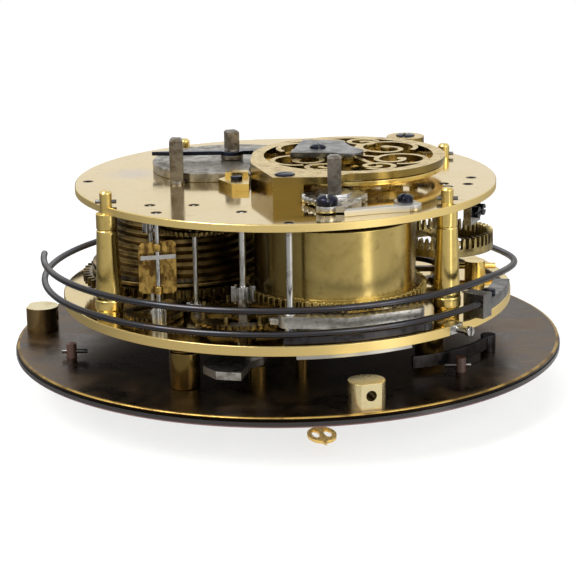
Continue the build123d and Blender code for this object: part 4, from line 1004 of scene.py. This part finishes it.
def cloth_ring(context):
    """Grey cloth on the floor round the object, with a bright gap, seen only in reflections."""
    cloth, tree, at = blank("cloth_grey_ring")
    turn = reckon(tree, "ARCTAN2", coordinate(tree, at, "Y"), coordinate(tree, at, "X"))
    tone = 0.0
    for (start, low), (end, high) in zip(TONES, TONES[1:]):
        rise = add(tree, "ShaderNodeMapRange", Value=turn, From_Min=math.radians(start),
                   From_Max=math.radians(end), To_Max=high - low).outputs["Result"]
        tone = reckon(tree, "ADD", tone, rise)
    tone = reckon(tree, "ADD", tone, TONES[0][1])
    near_object = ramp_mm(tree, away_from(tree, at, AXIS), 110, 128, 1.15, 1.0)
    emit(tree, reckon(tree, "MULTIPLY", tone, near_object), (1, 0.98, 0.95, 1))
    work = bmesh.new()
    rings = []
    for radius, height in CLOTH_RINGS:
        ring = []
        for part in range(CLOTH_SIDES):
            x, y = polar(part * 360 / CLOTH_SIDES, radius)
            ring.append(work.verts.new((x * MM, y * MM, height * MM)))
        rings.append(ring)
    for near, far in zip(rings, rings[1:]):
        bridge(work, near, far)
    made = finished(context, cloth.name, work, cloth)
    made.visible_camera = False
    made.visible_diffuse = False
    made.visible_shadow = False


def paper_floor(context):
    """White paper: matt, and white to the camera outside the object's shadow."""
    paper, tree, at = blank("paper_white_matt")
    ray = add(tree, "ShaderNodeLightPath")
    matt = add(tree, "ShaderNodeBsdfDiffuse",
               Color=blend(tree, noise(tree, at, 40.0, 2.0), "#FAFAFA", "#F6F6F6"))
    glow = add(tree, "ShaderNodeEmission", Color=(1, 1, 1, 1), Strength=1.0)
    seen = reckon(tree, "MAXIMUM", ray.outputs["Is Camera Ray"], ray.outputs["Is Glossy Ray"])
    far = ramp_mm(tree, away_from(tree, at, AXIS), 150, 600, 0.72, 1.0)
    both = add(tree, "ShaderNodeMixShader", _0=reckon(tree, "MULTIPLY", seen, far),
               _1=matt.outputs[0], _2=glow.outputs[0])
    out = add(tree, "ShaderNodeOutputMaterial")
    tree.links.new(both.outputs[0], out.inputs["Surface"])
    work = bmesh.new()
    half_width, height = 3, -0.0004
    work.faces.new([work.verts.new((x, y, height))
                    for x, y in box(-half_width, -half_width, half_width, half_width)])
    finished(context, "floor", work, paper)


def white_world(context):
    """A white studio, full to the camera and in reflections, and softer as light."""
    world = bpy.data.worlds.new("studio_white")
    context.scene.world = world
    world.use_nodes = True
    tree = world.node_tree
    tree.nodes.clear()
    ray = add(tree, "ShaderNodeLightPath")
    seen = reckon(tree, "MAXIMUM", ray.outputs["Is Camera Ray"], ray.outputs["Is Glossy Ray"])
    seen = reckon(tree, "MAXIMUM", seen, ray.outputs["Is Transmission Ray"])
    strength = add(tree, "ShaderNodeMapRange", Value=seen, To_Min=0.55, To_Max=1.0)
    emit(tree, strength.outputs["Result"], (1, 1, 1, 1), "ShaderNodeOutputWorld",
         "ShaderNodeBackground")


# Name, place in metres, size in metres, power in watts, and whether reflections show it
LAMPS = (("key", (-0.5, -0.35, 0.75), 0.5, 7.0, True),
         ("fill", (0.6, -0.6, 0.5), 0.5, 3.0, True),
         ("top", (0.05, 0.3, 0.9), 0.6, 5.0, False))
LIT_POINT = (0, 0, 0.03)
# The camera's eye and target in mm, its lens and sensor in mm, and its roll in degrees
EYE, TARGET = (0.179, -378.206, 120.492), (0.179, 0.0, 19.067)
LENS, SENSOR, ROLL = 120.25, 36.0, -0.857


class CLOCK_OT_stage(bpy.types.Operator):
    """Set the white floor, the grey cloth, the soft lights and the camera"""
    bl_idname = "clock.stage"
    bl_label = "Studio"

    def execute(self, context):
        scene = context.scene
        scene.view_settings.view_transform = "Standard"
        paper_floor(context)
        cloth_ring(context)
        white_world(context)

        for name, place, size, power, shown in LAMPS:
            lamp = bpy.data.lights.new(name, "AREA")
            lamp.size = size
            lamp.energy = power
            made = bpy.data.objects.new(name, lamp)
            made.location = place
            made.rotation_euler = (Vector(LIT_POINT) - Vector(place)).to_track_quat(
                "-Z", "Y").to_euler()
            made.visible_glossy = shown
            scene.collection.objects.link(made)

        eye, target = Vector(EYE) * MM, Vector(TARGET) * MM
        lens = bpy.data.cameras.new("photo_camera")
        lens.lens = LENS
        lens.sensor_width = SENSOR
        camera = bpy.data.objects.new("photo_camera", lens)
        turn = (target - eye).to_track_quat("-Z", "Y").to_matrix().to_4x4()
        camera.matrix_world = Matrix.Translation(eye) @ turn @ Matrix.Rotation(
            math.radians(ROLL), 4, "Z")
        scene.collection.objects.link(camera)
        scene.camera = camera
        return {"FINISHED"}


class CLOCK_PT_panel(bpy.types.Panel):
    """Lists the movement's pieces"""
    bl_idname = "CLOCK_PT_panel"
    bl_label = "Coach Clock"
    bl_space_type = "VIEW_3D"
    bl_region_type = "UI"
    bl_category = "Clock"

    def draw(self, context):
        looks = context.scene.clock_looks
        for field in ("plate_colour", "brass_colour", "steel_colour", "blue_colour", "dial_colour",
                      "edge", "numeral", "turns"):
            self.layout.prop(looks, field)
        for operator in OPERATORS:
            self.layout.operator(operator.bl_idname)


OPERATORS = (CLOCK_OT_plates, CLOCK_OT_pillars, CLOCK_OT_brasswork, CLOCK_OT_steelwork,
             CLOCK_OT_cock, CLOCK_OT_regulator, CLOCK_OT_gong, CLOCK_OT_chain, CLOCK_OT_dial,
             CLOCK_OT_hands, CLOCK_OT_stage)
CLASSES = (ClockLooks, *OPERATORS, CLOCK_PT_panel)


def register():
    for one in CLASSES:
        bpy.utils.register_class(one)
    bpy.types.Scene.clock_looks = PointerProperty(type=ClockLooks)


def unregister():
    del bpy.types.Scene.clock_looks
    for one in reversed(CLASSES):
        bpy.utils.unregister_class(one)


def main():
    register()
    for operator in OPERATORS:
        group, name = operator.bl_idname.split(".")
        getattr(getattr(bpy.ops, group), name)()
    bpy.context.view_layer.update()


if __name__ == "__main__":
    main()
